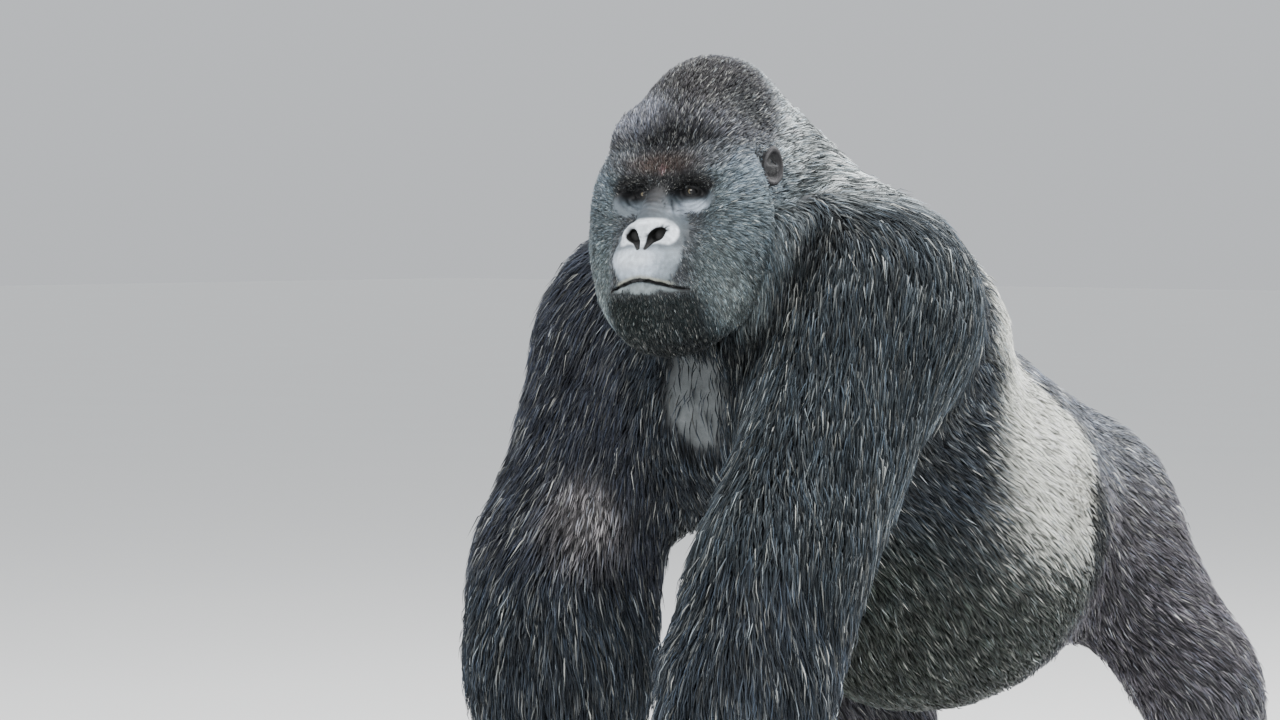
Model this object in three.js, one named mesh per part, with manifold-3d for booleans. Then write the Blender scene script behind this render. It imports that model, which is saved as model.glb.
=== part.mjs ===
// A silverback mountain gorilla, life size, standing on its knuckles and soles: left hand forward,
// left foot trailing, head turned a little to its left. Lengths are in millimetres and angles in
// degrees. +Z is up, the animal faces -Y and its left side is +X. The solids reach out to the tips
// of the coat. One rounded form describes the body; a skin of rings is drawn over it along each
// run of bones and sliced flat where two parts meet.
import * as THREE from "three";
import { mergeVertices } from "three/addons/utils/BufferGeometryUtils.js";
import Module from "manifold-3d";

const wasm = await Module();
wasm.setup();

// ---- Driving dimensions ----
const GAP = 0.4; // between neighbouring solids
const OVERRUN = 50; // how far a skin of rings runs past its slice
const SIDES = { left: 1, right: -1 };

const HEAD_TURN = 15; // to the animal's left
const HEAD_ROLL = 3; // left side up
const EAR_AXIS = [18, -134, 1076]; // midway between the ears
const EYE = { across: 36, ahead: 93, below: 29, radius: 14 };
const EAR = { behind: -20, above: 0, sunk: 3, radii: [12, 17, 25] };

const WRIST_HEIGHT = 152;
const KNUCKLE_HEIGHT = 70;
const FINGERS = [
  { name: "index", across: -52, back: 7, size: 0.94 },
  { name: "middle", across: -17.5, back: 0, size: 1 },
  { name: "ring", across: 17.5, back: 1, size: 0.98 },
  { name: "little", across: 51, back: 10, size: 0.88 },
];
const FINGER_RADIUS = 15.5;

const ANKLE_HEIGHT = 92;
const TOES = [
  { across: -25, ahead: 182, size: 1 },
  { across: 4, ahead: 180, size: 0.97 },
  { across: 32, ahead: 168, size: 0.93 },
  { across: 57, ahead: 150, size: 0.88 },
];
const TOE_RADIUS = 15;

const SPINE_SLOPE = -24; // the back falls from the withers to the rump
const JOINTS = {
  left: {
    shoulder: [228, 0, 885], elbow: [252, -240, 530], wrist: [205, -345, WRIST_HEIGHT], handTurn: -8,
    elbowRadius: 124,
    hip: [120, 640, 560], knee: [290, 690, 318], ankle: [262, 850, ANKLE_HEIGHT], footTurn: 22,
  },
  right: {
    shoulder: [-205, -20, 838], elbow: [-288, -80, 500], wrist: [-232, -165, WRIST_HEIGHT], handTurn: 8,
    elbowRadius: 142,
    hip: [-120, 640, 560], knee: [-265, 570, 318], ankle: [-215, 680, ANKLE_HEIGHT], footTurn: -20,
  },
};

// ---- Rounded forms: each is a function of a point, negative inside ----
const { lerp, clamp, degToRad } = THREE.MathUtils;
const vec = ([x, y, z]) => new THREE.Vector3(x, y, z);
const between = (a, b, share) => a.map((value, i) => lerp(value, b[i], share));
const bothSides = (make) => Object.values(SIDES).flatMap(make);

function turned(degrees) {
  const [x, y, z] = degrees.map(degToRad);
  return new THREE.Quaternion().setFromEuler(new THREE.Euler(x, y, z, "ZYX"));
}

function lump(centre, radii, turn = [0, 0, 0]) {
  const unit = new THREE.Vector3(1, 1, 1);
  const inverse = new THREE.Matrix4().compose(vec(centre), turned(turn), unit).invert();
  const [a, b, c] = radii;
  const q = new THREE.Vector3();
  return (p) => {
    q.copy(p).applyMatrix4(inverse);
    const near = Math.hypot(q.x / a, q.y / b, q.z / c);
    const slope = Math.hypot(q.x / a ** 2, q.y / b ** 2, q.z / c ** 2);
    return slope < 1e-9 ? -Math.min(a, b, c) : (near * (near - 1)) / slope;
  };
}

function bone(from, to, fromRadius, toRadius = fromRadius) {
  const a = vec(from);
  const along = vec(to).sub(a);
  const lengthSq = along.lengthSq();
  const q = new THREE.Vector3();
  return (p) => {
    q.subVectors(p, a);
    const share = clamp(q.dot(along) / lengthSq, 0, 1);
    return q.addScaledVector(along, -share).length() - lerp(fromRadius, toRadius, share);
  };
}

function melt(d, e, width) {
  const h = Math.max(width - Math.abs(d - e), 0) / width;
  return Math.min(d, e) - (h * h * width) / 4;
}

// Every form of the list melts into those before it over its own width.
const meld = (forms) => (p) => forms.reduce((d, [form, width]) => melt(d, form(p), width), 1e6);
const hollowed = (form, hollows) => (p) =>
  hollows.reduce((d, [hollow, width]) => -melt(-d, hollow(p), width), form(p));
function seenFrom(pose, form) {
  const inverse = pose.clone().invert();
  const q = new THREE.Vector3();
  return (p) => form(q.copy(p).applyMatrix4(inverse));
}

// ---- Head, in its own frame: origin midway between the ears, facing -Y ----
const headForms = [
  [lump([0, 26, 28], [107, 134, 107]), 1],
  [lump([0, 74, 70], [91, 122, 102]), 50],
  ...bothSides((s) => [
    [lump([s * 62, 10, -28], [44, 88, 68]), 40],
    [lump([s * 84, -62, -104], [52, 74, 98]), 40],
    [lump([s * 78, 22, -95], [48, 78, 86]), 40],
    [lump([s * 70, -78, -44], [42, 36, 30]), 20],
    [lump([s * 88, -62, -40], [46, 32, 70]), 34],
    [lump([s * 60, -44, 46], [46, 52, 46]), 30],
  ]),
  [lump([0, -94, -180], [103, 86, 72]), 40],
  [bone([-54, -92, 6], [54, -92, 6], 25), 30],
  ...bothSides((s) => [[bone([s * 54, -92, 6], [s * 90, -58, -6], 25, 24), 20]]),
  [lump([0, -112, -122], [72, 74, 62]), 30],
  [bone([0, -92, -14], [0, -132, -62], 21, 24), 24],
  [lump([0, -146, -84], [44, 32, 30]), 12],
  [lump([0, -140, -126], [60, 56, 34]), 16],
  [lump([0, -134, -172], [54, 52, 26]), 10],
  [lump([0, -120, -208], [66, 56, 46]), 24],
];
const headHollows = bothSides((s) => [
  [lump([s * 42, -120, -30], [23, 25, 13], [0, 0, -s * 14]), 10],
]);
const headOwnForm = hollowed(meld(headForms), headHollows);
const headPose = new THREE.Matrix4().compose(
  vec(EAR_AXIS), turned([0, -HEAD_ROLL, HEAD_TURN]), new THREE.Vector3(1, 1, 1),
);

// ---- Body ----
const slope = [SPINE_SLOPE, 0, 0];
const nape = bone([0, 60, 900], [14, -80, 1085], 170, 122);
const trunkForms = [
  [lump([0, 130, 775], [222, 300, 250], slope), 1],
  [lump([0, 75, 905], [205, 220, 135], slope), 60],
  [lump([0, 375, 562], [298, 300, 290], slope), 120],
  [lump([0, 600, 590], [205, 195, 165], slope), 90],
  [nape, 80],
  ...bothSides((s) => [
    [lump([s * 92, -55, 745], [115, 95, 145]), 50],
    [lump([s * 165, 165, 850], [125, 175, 150], slope), 60],
    [lump([s * 112, 690, 560], [120, 120, 130]), 60],
    [bone([s * 40, -30, 1085], [s * 150, 10, 950], 90, 110), 70],
  ]),
];

function armForms(s, { shoulder, elbow, wrist, elbowRadius }) {
  const mid = between(shoulder, elbow, 0.5);
  return [
    [lump([shoulder[0] + s * 8, shoulder[1] + 5, shoulder[2] - 5], [128, 160, 165]), 70],
    [bone(shoulder, elbow, 138, elbowRadius - 8), 60],
    [lump([mid[0] + s * 5, mid[1] + 28, mid[2] - 10], [92, 92, 180]), 40],
    [bone(elbow, between(elbow, wrist, 0.45), elbowRadius, elbowRadius - 2), 50],
    [bone(between(elbow, wrist, 0.4), wrist, elbowRadius - 12, 60), 60],
    [bone(wrist, [wrist[0], wrist[1] - 6, 100], 60, 44), 40],
  ];
}

function legForms(s, { hip, knee, ankle }) {
  const calf = between(knee, ankle, 0.35);
  return [
    [bone(hip, knee, 128, 96), 60],
    [bone(knee, ankle, 92, 54), 50],
    [lump([calf[0], calf[1] + 26, calf[2]], [62, 62, 110]), 40],
    [bone(ankle, [ankle[0], ankle[1], 50], 54, 46), 40],
  ];
}

const limbForms = Object.entries(SIDES).flatMap(([name, s]) => [
  ...armForms(s, JOINTS[name]),
  ...legForms(s, JOINTS[name]),
]);
const bodyForm = meld([...trunkForms, ...limbForms, [seenFrom(headPose, meld(headForms)), 30]]);
const headForm = (() => {
  const napeInHead = seenFrom(headPose.clone().invert(), nape);
  return (p) => melt(headOwnForm(p), napeInHead(p), 40);
})();

// ---- Slices ----
const slice = (at, facing) => ({ at: vec(at), facing: vec(facing).normalize() });
const flipped = ({ at, facing }) => ({ at, facing: facing.clone().negate() });
const moved = ({ at, facing }, by) => ({ at: at.clone().addScaledVector(facing, by), facing });
function carried({ at, facing }, matrix) {
  return { at: at.clone().applyMatrix4(matrix), facing: facing.clone().transformDirection(matrix) };
}
// The form on the side that each slice faces away from, with some overrun.
function roughly(form, slices) {
  const q = new THREE.Vector3();
  return (p) =>
    slices.reduce((d, { at, facing }) => Math.max(d, q.subVectors(p, at).dot(facing) - OVERRUN), form(p));
}

// ---- Skins: rings of rays from a core line out to the form ----
function reach(form, origin, direction, limit) {
  const p = new THREE.Vector3();
  const value = (t) => form(p.copy(origin).addScaledVector(direction, t));
  let inside = 0;
  let outside = 1;
  for (let step = 0; step < 400 && outside < limit; step++) {
    const d = value(outside);
    if (d > 0) break;
    inside = outside;
    outside += Math.max(1.5, -0.7 * d);
  }
  if (outside >= limit) return limit;
  for (let step = 0; step < 18; step++) {
    const middle = (inside + outside) / 2;
    if (value(middle) > 0) outside = middle;
    else inside = middle;
  }
  return inside;
}

// stations: points of the core, each with the way its ring faces. caps: rings that round each end
// off, where 0 leaves a flat end for a slice to trim.
function skinOver({ form, stations, rings, around, caps = [0, 0], up = [0, -1, 0], limit = 500 }) {
  const curve = new THREE.CatmullRomCurve3(stations.map(({ at }) => at));
  const positions = [];
  const loops = [];
  const shoot = (centre, ray) => {
    positions.push(centre.clone().addScaledVector(ray, reach(form, centre, ray, limit)));
    return positions.length - 1;
  };
  const addLoop = (centre, facing, lean) => {
    const side = vec(up).addScaledVector(facing, -vec(up).dot(facing)).normalize();
    const other = new THREE.Vector3().crossVectors(facing, side);
    const loop = [];
    for (let k = 0; k < around; k++) {
      const angle = (2 * Math.PI * k) / around;
      const ray = side.clone().multiplyScalar(Math.cos(angle)).addScaledVector(other, Math.sin(angle));
      loop.push(shoot(centre, ray.multiplyScalar(Math.cos(lean)).addScaledVector(facing, Math.sin(lean))));
    }
    loops.push(loop);
  };
  const addPole = ({ at, facing }, sign, round) => {
    if (round) loops.push([shoot(at, facing.clone().multiplyScalar(sign))]);
    else loops.push([positions.push(at.clone()) - 1]);
  };
  const first = stations[0];
  const last = stations[stations.length - 1];
  addPole(first, -1, caps[0] > 0);
  for (let k = 1; k < caps[0]; k++) addLoop(first.at, first.facing, (-Math.PI / 2) * (1 - k / caps[0]));
  for (let k = 0; k <= rings; k++) {
    const u = (k / rings) * (stations.length - 1);
    const i = Math.min(Math.floor(u), stations.length - 2);
    const facing = stations[i].facing.clone().lerp(stations[i + 1].facing, u - i).normalize();
    addLoop(curve.getPoint(k / rings), facing, 0);
  }
  for (let k = caps[1] - 1; k > 0; k--) addLoop(last.at, last.facing, (Math.PI / 2) * (1 - k / caps[1]));
  addPole(last, 1, caps[1] > 0);
  return closed(positions, loops, around);
}

// Joins rings of points, with one point at each end, into a closed solid.
function closed(positions, loops, around) {
  const index = [];
  for (let k = 0; k + 1 < loops.length; k++) {
    const [lower, upper] = [loops[k], loops[k + 1]];
    for (let j = 0; j < around; j++) {
      const [a, b] = [lower[j % lower.length], lower[(j + 1) % lower.length]];
      const [c, d] = [upper[j % upper.length], upper[(j + 1) % upper.length]];
      if (a !== b) index.push(a, b, d);
      if (c !== d) index.push(a, d, c);
    }
  }
  const geometry = new THREE.BufferGeometry().setFromPoints(positions);
  geometry.setIndex(index);
  return toSolid(geometry);
}

// ---- Joins and cuts ----
function toSolid(geometry) {
  const plain = geometry.clone();
  plain.deleteAttribute("normal");
  plain.deleteAttribute("uv");
  const merged = geometry.hasAttribute("uv") ? mergeVertices(plain) : plain;
  return new wasm.Manifold(new wasm.Mesh({
    numProp: 3,
    vertProperties: new Float32Array(merged.getAttribute("position").array),
    triVerts: new Uint32Array(merged.getIndex().array),
  }));
}
function toGeometry(solid) {
  const mesh = solid.getMesh();
  const geometry = new THREE.BufferGeometry();
  geometry.setAttribute("position", new THREE.BufferAttribute(new Float32Array(mesh.vertProperties), 3));
  geometry.setIndex(new THREE.BufferAttribute(new Uint32Array(mesh.triVerts), 1));
  geometry.computeVertexNormals();
  return geometry;
}
// Keeps the side that each slice faces away from.
function trimmed(solid, ...slices) {
  return slices.reduce((kept, { at, facing }) => {
    const away = facing.clone().negate();
    return kept.trimByPlane(away.toArray(), away.dot(at) + GAP / 2);
  }, solid);
}
const largest = (solid) => solid.decompose().sort((a, b) => b.volume() - a.volume())[0];

// ---- Scene graph ----
function material(color, roughness = 0.85) {
  return new THREE.MeshStandardMaterial({ color, roughness, metalness: 0 });
}
const LOOK = {
  black: material(0x2b2d33),
  silver: material(0x8f918c),
  grey: material(0x45474b),
  skin: material(0x1d1c20, 0.7),
  nail: material(0x2c2723, 0.5),
  eye: material(0x2a1c12, 0.2),
};
const gorilla = new THREE.Group();
function place(name, solid, look, parent = gorilla) {
  const mesh = new THREE.Mesh(toGeometry(largest(solid)), look);
  mesh.name = name;
  parent.add(mesh);
  return mesh;
}

const floor = slice([0, 0, -GAP / 2], [0, 0, -1]);
const napeCut = slice([14, -64, 1035], [0, 0.88, -0.47]);
const neckCut = slice([0, 10, 935], [0, 0.75, -0.66]);
const waistCut = slice([0, 240, 700], [0, 0.91, -0.41]);
const loinCut = slice([0, 500, 600], [0, 0.95, -0.3]);
const cuts = {};
for (const [name, s] of Object.entries(SIDES)) {
  const { shoulder, elbow, wrist, hip, knee, ankle } = JOINTS[name];
  cuts[name] = {
    shoulder: slice([shoulder[0] - s * 20, shoulder[1], shoulder[2] - 10], [s * 0.8, -0.58, -0.15]),
    elbow: slice(elbow, vec(wrist).sub(vec(shoulder)).toArray()),
    wrist: slice(wrist, [0, 0, -1]),
    hip: slice([s * 195, 655, 480], [s * 0.5, 0.62, -0.6]),
    knee: slice(knee, vec(ankle).sub(vec(hip)).toArray()),
    ankle: slice(ankle, [0, 0, -1]),
  };
}

// Head, sliced at the nape. A slightly larger copy makes room for it in its neighbours.
const headGroup = new THREE.Group();
headPose.decompose(headGroup.position, headGroup.quaternion, headGroup.scale);
gorilla.add(headGroup);
const napeInHead = carried(napeCut, headPose.clone().invert());
function headSkin(grow) {
  const whole = skinOver({
    form: (p) => headForm(p) - grow,
    stations: [slice([0, 40, -40], [0, -0.99, -0.12]), slice([0, -28, -50], [0, -0.99, -0.12])],
    rings: 2, around: 30, caps: [4, 12], up: [0, 0, 1],
  });
  return trimmed(whole, moved(napeInHead, grow / 2));
}
const head = headSkin(0);
const headRoom = headSkin(GAP).transform(headPose.toArray());
const sockets = bothSides((s) => {
  const socket = new THREE.SphereGeometry(EYE.radius + GAP, 10, 7);
  return [toSolid(socket.translate(s * EYE.across, -EYE.ahead, -EYE.below))];
});
const socketed = sockets.reduce((solid, socket) => solid.subtract(socket), head);
place("head", socketed, LOOK.black, headGroup);
for (const [name, s] of Object.entries(SIDES)) {
  const eye = new THREE.SphereGeometry(EYE.radius, 10, 7).translate(s * EYE.across, -EYE.ahead, -EYE.below);
  place(`eye_${name}`, toSolid(eye), LOOK.eye, headGroup);

  const [a, b, c] = EAR.radii;
  const root = new THREE.Vector3(0, EAR.behind, EAR.above);
  const across = s * (reach(headForm, root, new THREE.Vector3(s, 0, 0), 200) - EAR.sunk);
  const shell = new THREE.SphereGeometry(1, 9, 5).scale(a, b, c);
  const bowl = new THREE.SphereGeometry(1, 6, 4).scale(a * 0.7, b * 0.66, c * 0.66);
  const pose = new THREE.Matrix4().compose(
    root.setX(across), turned([-8, 0, s * 20]), new THREE.Vector3(1, 1, 1),
  );
  const ear = toSolid(shell).subtract(toSolid(bowl.translate(s * a * 0.75, -b * 0.15, 0)));
  place(`ear_${name}`, ear.transform(pose.toArray()).subtract(headSkin(GAP)), LOOK.skin, headGroup);
}

// Trunk, one skin from the nape to the rump.
const trunkEdges = bothSides((s) => {
  const { shoulder, hip } = cuts[s > 0 ? "left" : "right"];
  return [shoulder, hip];
});
const trunk = skinOver({
  form: roughly(bodyForm, trunkEdges),
  stations: [
    slice([12, -100, 1070], [0, 0.72, -0.69]),
    slice([0, 10, 920], [0, 0.78, -0.62]),
    slice([0, 130, 770], [0, 0.86, -0.5]),
    slice([0, 290, 680], [0, 0.93, -0.36]),
    slice([0, 450, 615], [0, 0.96, -0.25]),
    slice([0, 610, 590], [0, 0.98, -0.15]),
  ],
  rings: 16, around: 26, caps: [0, 4],
});
const trunkPart = (...edges) => trimmed(trunk, ...edges, ...trunkEdges).subtract(headRoom);
place("neck", trunkPart(flipped(napeCut), neckCut), LOOK.black);
place("chest", trunkPart(flipped(neckCut), waistCut), LOOK.black);
place("belly", trunkPart(flipped(waistCut), loinCut), LOOK.silver);
place("rump", trunkPart(flipped(loinCut)), LOOK.grey);

for (const [name, s] of Object.entries(SIDES)) {
  const { shoulder, elbow, wrist, hip, knee, ankle } = JOINTS[name];
  const cut = cuts[name];
  const arm = skinOver({
    form: roughly(bodyForm, [flipped(cut.shoulder)]),
    stations: [
      moved(cut.shoulder, -OVERRUN + 5),
      slice([shoulder[0] + s * 18, shoulder[1] - 20, shoulder[2] - 60], [s * 0.55, -0.5, -0.6]),
      slice(between(shoulder, elbow, 0.62), vec(elbow).sub(vec(shoulder)).toArray()),
      cut.elbow,
      slice(between(elbow, wrist, 0.5), vec(wrist).sub(vec(elbow)).toArray()),
      moved(cut.wrist, 15),
    ],
    rings: 13, around: 16, up: [0, -0.4, 1], limit: 235,
  }).subtract(headRoom);
  place(`upper_arm_${name}`, trimmed(arm, flipped(cut.shoulder), cut.elbow), LOOK.black);
  place(`forearm_${name}`, trimmed(arm, flipped(cut.elbow), cut.wrist), LOOK.black);

  const leg = skinOver({
    form: roughly(bodyForm, [flipped(cut.hip)]),
    stations: [
      moved(cut.hip, -OVERRUN + 5),
      slice(between(hip, knee, 0.55), [s * 0.55, (knee[1] - hip[1]) / 500, -0.75]),
      cut.knee,
      slice(between(knee, ankle, 0.5), vec(ankle).sub(vec(knee)).toArray()),
      moved(cut.ankle, 15),
    ],
    rings: 11, around: 15, limit: 210,
  });
  place(`thigh_${name}`, trimmed(leg, flipped(cut.hip), cut.knee), LOOK.grey);
  place(`shank_${name}`, trimmed(leg, flipped(cut.knee), cut.ankle), LOOK.black);

  buildHand(name, s);
  buildFoot(name, s);
}

// A tapered, round-ended finger bone.
function rod(from, to, fromRadius, toRadius, around = 7) {
  const facing = vec(to).sub(vec(from)).normalize();
  return skinOver({
    form: bone(from, to, fromRadius, toRadius),
    stations: [{ at: vec(from), facing }, { at: vec(to), facing }],
    rings: 1, around, caps: [2, 2], up: [0.3, -0.3, 0.9],
  });
}

// Nail: a thin shield lying on the tip of a finger or toe.
function nail(at, radii, turn, tip) {
  const shield = new THREE.SphereGeometry(1, 6, 3).scale(...radii);
  const pose = new THREE.Matrix4().compose(vec(at), turned(turn), new THREE.Vector3(1, 1, 1));
  return toSolid(shield).transform(pose.toArray()).subtract(tip);
}

// A finger that runs forward and down from the knuckle, folds back at its middle joint and lies
// on the floor along its middle bone. Its rings fan round the crease inside the fold.
function foldedFinger(x, back, size) {
  const r = FINGER_RADIUS * (0.3 + 0.7 * size);
  const crease = [back - 34 * size, 2 * r - 2];
  const fan = (degrees, radius = r) => {
    const out = [Math.cos(degToRad(degrees)), Math.sin(degToRad(degrees))];
    return { centre: [crease[0] + out[0] * radius, crease[1] + out[1] * radius], out, radius };
  };
  const flat = [0, -1];
  const rings = [
    { centre: [back - 4, KNUCKLE_HEIGHT + 8], out: [-0.74, 0.67], radius: r + 1 },
    fan(130, r + 0.5),
    fan(172, r + 1),
    fan(214, r + 1),
    fan(262),
    { centre: [back - 4, r - 2], out: flat, radius: r },
    { centre: [back + 12 * size, r + 2], out: [0.45, -0.89], radius: r - 2 },
    { centre: [back + 20 * size, r + 8], out: [0.75, -0.66], radius: r - 7 },
  ];
  const around = 7;
  const positions = [new THREE.Vector3(x, ...rings[0].centre)];
  for (const { centre, out, radius } of rings)
    for (let k = 0; k < around; k++) {
      const angle = (2 * Math.PI * k) / around;
      const [y, z] = centre.map((value, i) => value + Math.cos(angle) * radius * out[i]);
      positions.push(new THREE.Vector3(x - Math.sin(angle) * radius, y, z));
    }
  positions.push(new THREE.Vector3(x, back + 24 * size, r + 12));
  const loops = rings.map((ring, i) => Array.from({ length: around }, (_, k) => 1 + i * around + k));
  return closed(positions, [[0], ...loops, [positions.length - 1]], around);
}

function buildHand(name, s) {
  const { wrist, handTurn } = JOINTS[name];
  const group = new THREE.Group();
  group.position.set(wrist[0], wrist[1], 0);
  group.rotation.z = degToRad(handTurn);
  gorilla.add(group);
  const form = meld([
    [bone([0, 0, WRIST_HEIGHT + 40], [0, -4, WRIST_HEIGHT - 30], 62, 46), 1],
    ...FINGERS.map(({ across, back }) => {
      const knuckle = [s * across * 0.96, back - 8, KNUCKLE_HEIGHT];
      return [bone([s * across * 0.5, -4, WRIST_HEIGHT - 20], knuckle, 27, 22), 14];
    }),
    [lump([0, 14, 100], [50, 20, 40]), 20],
    [lump([-s * 42, 4, 118], [20, 22, 34]), 16],
  ]);
  const palmSkin = (grow) => skinOver({
    form: (p) => form(p) - grow,
    stations: [slice([0, 0, WRIST_HEIGHT + 15], [0, 0, -1]), slice([0, -6, 82], [0, 0, -1])],
    rings: 3, around: 16, caps: [0, 3],
  });
  place(`hand_${name}`, trimmed(palmSkin(0), slice([0, 0, WRIST_HEIGHT], [0, 0, 1])), LOOK.skin, group);
  const palmRoom = palmSkin(GAP);
  for (const { name: finger, across, back, size } of FINGERS) {
    const whole = foldedFinger(s * across, back, size);
    place(`${finger}_finger_${name}`, trimmed(whole, floor).subtract(palmRoom), LOOK.skin, group);
    const shield = nail([s * across, back + 24 * size, 17], [8, 9, 4], [-55, 0, 0], whole);
    place(`${finger}_nail_${name}`, trimmed(shield, slice([0, 0, 3], [0, 0, -1])), LOOK.nail, group);
  }
  const thumb = rod([-s * 46, 12, 132], [-s * 82, 26, 76], 19, 13);
  place(`thumb_${name}`, thumb.subtract(palmRoom), LOOK.skin, group);
  const thumbNail = nail([-s * 91, 15, 68], [8, 4, 10], [0, 0, -s * 36], thumb);
  place(`thumb_nail_${name}`, thumbNail, LOOK.nail, group);
}

function buildFoot(name, s) {
  const { ankle, footTurn } = JOINTS[name];
  const group = new THREE.Group();
  group.position.set(ankle[0], ankle[1], 0);
  group.rotation.z = degToRad(footTurn);
  gorilla.add(group);
  const form = meld([
    [bone([0, 0, ANKLE_HEIGHT + 40], [0, -4, 58], 56, 46), 1],
    [lump([0, 34, 34], [38, 48, 40]), 24],
    [bone([0, -10, 44], [s * 4, -110, 20], 46, 26), 30],
    [bone([-s * 30, -120, 19], [s * 50, -100, 17], 24, 20), 24],
    [bone([-s * 14, -20, 34], [-s * 44, -84, 24], 34, 26), 20],
  ]);
  const soleSkin = (grow) => skinOver({
    form: (p) => form(p) - grow,
    stations: [
      slice([0, 2, ANKLE_HEIGHT + 15], [0, 0, -1]),
      slice([0, 4, 56], [0, -0.35, -0.94]),
      slice([0, -24, 32], [0, -0.9, -0.4]),
      slice([0, -96, 20], [0, -1, 0]),
    ],
    rings: 6, around: 12, caps: [0, 3], up: [1, 0, 0],
  });
  const toeRods = TOES.map(({ across, ahead, size }) => {
    const r = TOE_RADIUS * size;
    return rod([s * across * 0.9, 62 - ahead, 21], [s * across, -ahead, 14], r + 1, r - 1, 6);
  });
  const sole = toeRods.reduce((solid, toe) => solid.add(toe), soleSkin(0));
  const footSolid = trimmed(sole, slice([0, 0, ANKLE_HEIGHT], [0, 0, 1]), floor);
  const hallux = rod([-s * 48, -58, 24], [-s * 90, -116, 19], 23, 18);
  place(`foot_${name}`, footSolid, LOOK.skin, group);
  place(`big_toe_${name}`, trimmed(hallux, floor).subtract(sole.add(soleSkin(GAP))), LOOK.skin, group);
  const halluxNail = nail([-s * 96, -124, 33], [10, 11, 4], [14, 0, -s * 36], hallux);
  place(`big_toe_nail_${name}`, halluxNail, LOOK.nail, group);
  TOES.forEach(({ across, ahead, size }, i) => {
    const shield = nail([s * across, -ahead - 6, 26 * size], [8 * size, 9, 4], [24, 0, 0], sole);
    place(`toe_nail_${i + 1}_${name}`, shield, LOOK.nail, group);
  });
}

// Origin on the floor, under the middle of the animal.
const bounds = new THREE.Box3().setFromObject(gorilla, true);
const middle = bounds.getCenter(new THREE.Vector3());
gorilla.position.set(-middle.x, -middle.y, 0);

export default gorilla;
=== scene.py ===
"""The looks of a life-size silverback mountain gorilla: one skin over all its flesh, a coat of
tufts, eyes and nails, in a plain studio. Lengths are metres, and in the head's own frame they
are millimetres."""

import math

import bmesh
import bpy
import numpy as np
from mathutils import Matrix, Vector
from mathutils.bvhtree import BVHTree
from mathutils.kdtree import KDTree


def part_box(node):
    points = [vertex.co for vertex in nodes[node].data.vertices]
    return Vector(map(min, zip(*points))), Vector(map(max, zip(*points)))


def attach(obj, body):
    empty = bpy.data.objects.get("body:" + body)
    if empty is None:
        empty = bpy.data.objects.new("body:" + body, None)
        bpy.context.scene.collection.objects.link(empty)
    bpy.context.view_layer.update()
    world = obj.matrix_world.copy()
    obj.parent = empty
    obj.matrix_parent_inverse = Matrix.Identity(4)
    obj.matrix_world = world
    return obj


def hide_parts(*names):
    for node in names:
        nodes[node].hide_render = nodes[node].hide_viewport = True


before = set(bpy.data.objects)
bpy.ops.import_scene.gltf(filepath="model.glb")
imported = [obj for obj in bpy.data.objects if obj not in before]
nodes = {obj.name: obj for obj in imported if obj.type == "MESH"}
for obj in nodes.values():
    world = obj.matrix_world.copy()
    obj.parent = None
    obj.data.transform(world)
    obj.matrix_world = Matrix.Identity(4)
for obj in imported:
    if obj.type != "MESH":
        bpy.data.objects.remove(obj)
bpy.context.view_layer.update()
scene = bpy.context.scene
draw = np.random.default_rng(7)

SIDES = {"left": 1, "right": -1}
DIGITS = ("index_finger", "middle_finger", "ring_finger", "little_finger", "thumb")
HANDS = {s: [f"hand_{s}"] + [f"{d}_{s}" for d in DIGITS] for s in SIDES}
FEET = {s: [f"foot_{s}", f"big_toe_{s}"] for s in SIDES}
EARS = {s: [f"ear_{s}"] for s in SIDES}
TRUNK = ["head", "neck", "chest", "belly", "rump"]
LIMBS = [f"{part}_{s}" for s in SIDES for part in ("upper_arm", "forearm", "thigh", "shank")]
FLESH = TRUNK + LIMBS + [n for g in (HANDS, FEET, EARS) for names in g.values() for n in names]
GROUPS = [*TRUNK, *LIMBS, "hand", "foot", "ear"]  # each point of the skin belongs to these
BODY_GRAIN = 0.013  # edge of the skin's faces on the body
HAND_GRAIN, FOOT_GRAIN, EAR_GRAIN = 0.0036, 0.0046, 0.0025
MERGED = 1e-5  # points closer than this are one


# ---- Meshes as arrays ----
def added(mesh, name=None):
    obj = bpy.data.objects.new(name or mesh.name, mesh)
    scene.collection.objects.link(obj)
    return obj


def removed(obj):
    mesh = obj.data
    bpy.data.objects.remove(obj)
    bpy.data.meshes.remove(mesh)


def read(collection, field, width=3, kind=np.float32):
    values = np.empty(len(collection) * width, kind)
    collection.foreach_get(field, values)
    return values.reshape(-1, width) if width > 1 else values


def points_of(mesh):
    return read(mesh.vertices, "co").astype(float)


def move_points(mesh, points):
    mesh.vertices.foreach_set("co", points.astype(np.float32).ravel())
    mesh.update()


def normals_of(mesh):
    return read(mesh.vertex_normals, "vector").astype(float)


def unit(vectors):
    return vectors / np.maximum(np.linalg.norm(vectors, axis=-1, keepdims=True), 1e-12)


def ramp(values, low, high):
    """0 at low and below, 1 at high and above, smooth between; low may be the larger."""
    t = np.clip((values - low) / (high - low), 0, 1)
    return t * t * (3 - 2 * t)


def store(mesh, name, values):
    """Keeps one number or one colour for each point of a mesh."""
    colour = values.ndim == 2
    attribute = mesh.attributes.new(name, "FLOAT_COLOR" if colour else "FLOAT", "POINT")
    if colour:
        values = np.column_stack([values, np.ones(len(values))])
    field = "color" if colour else "value"
    attribute.data.foreach_set(field, values.astype(np.float32).ravel())


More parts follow.
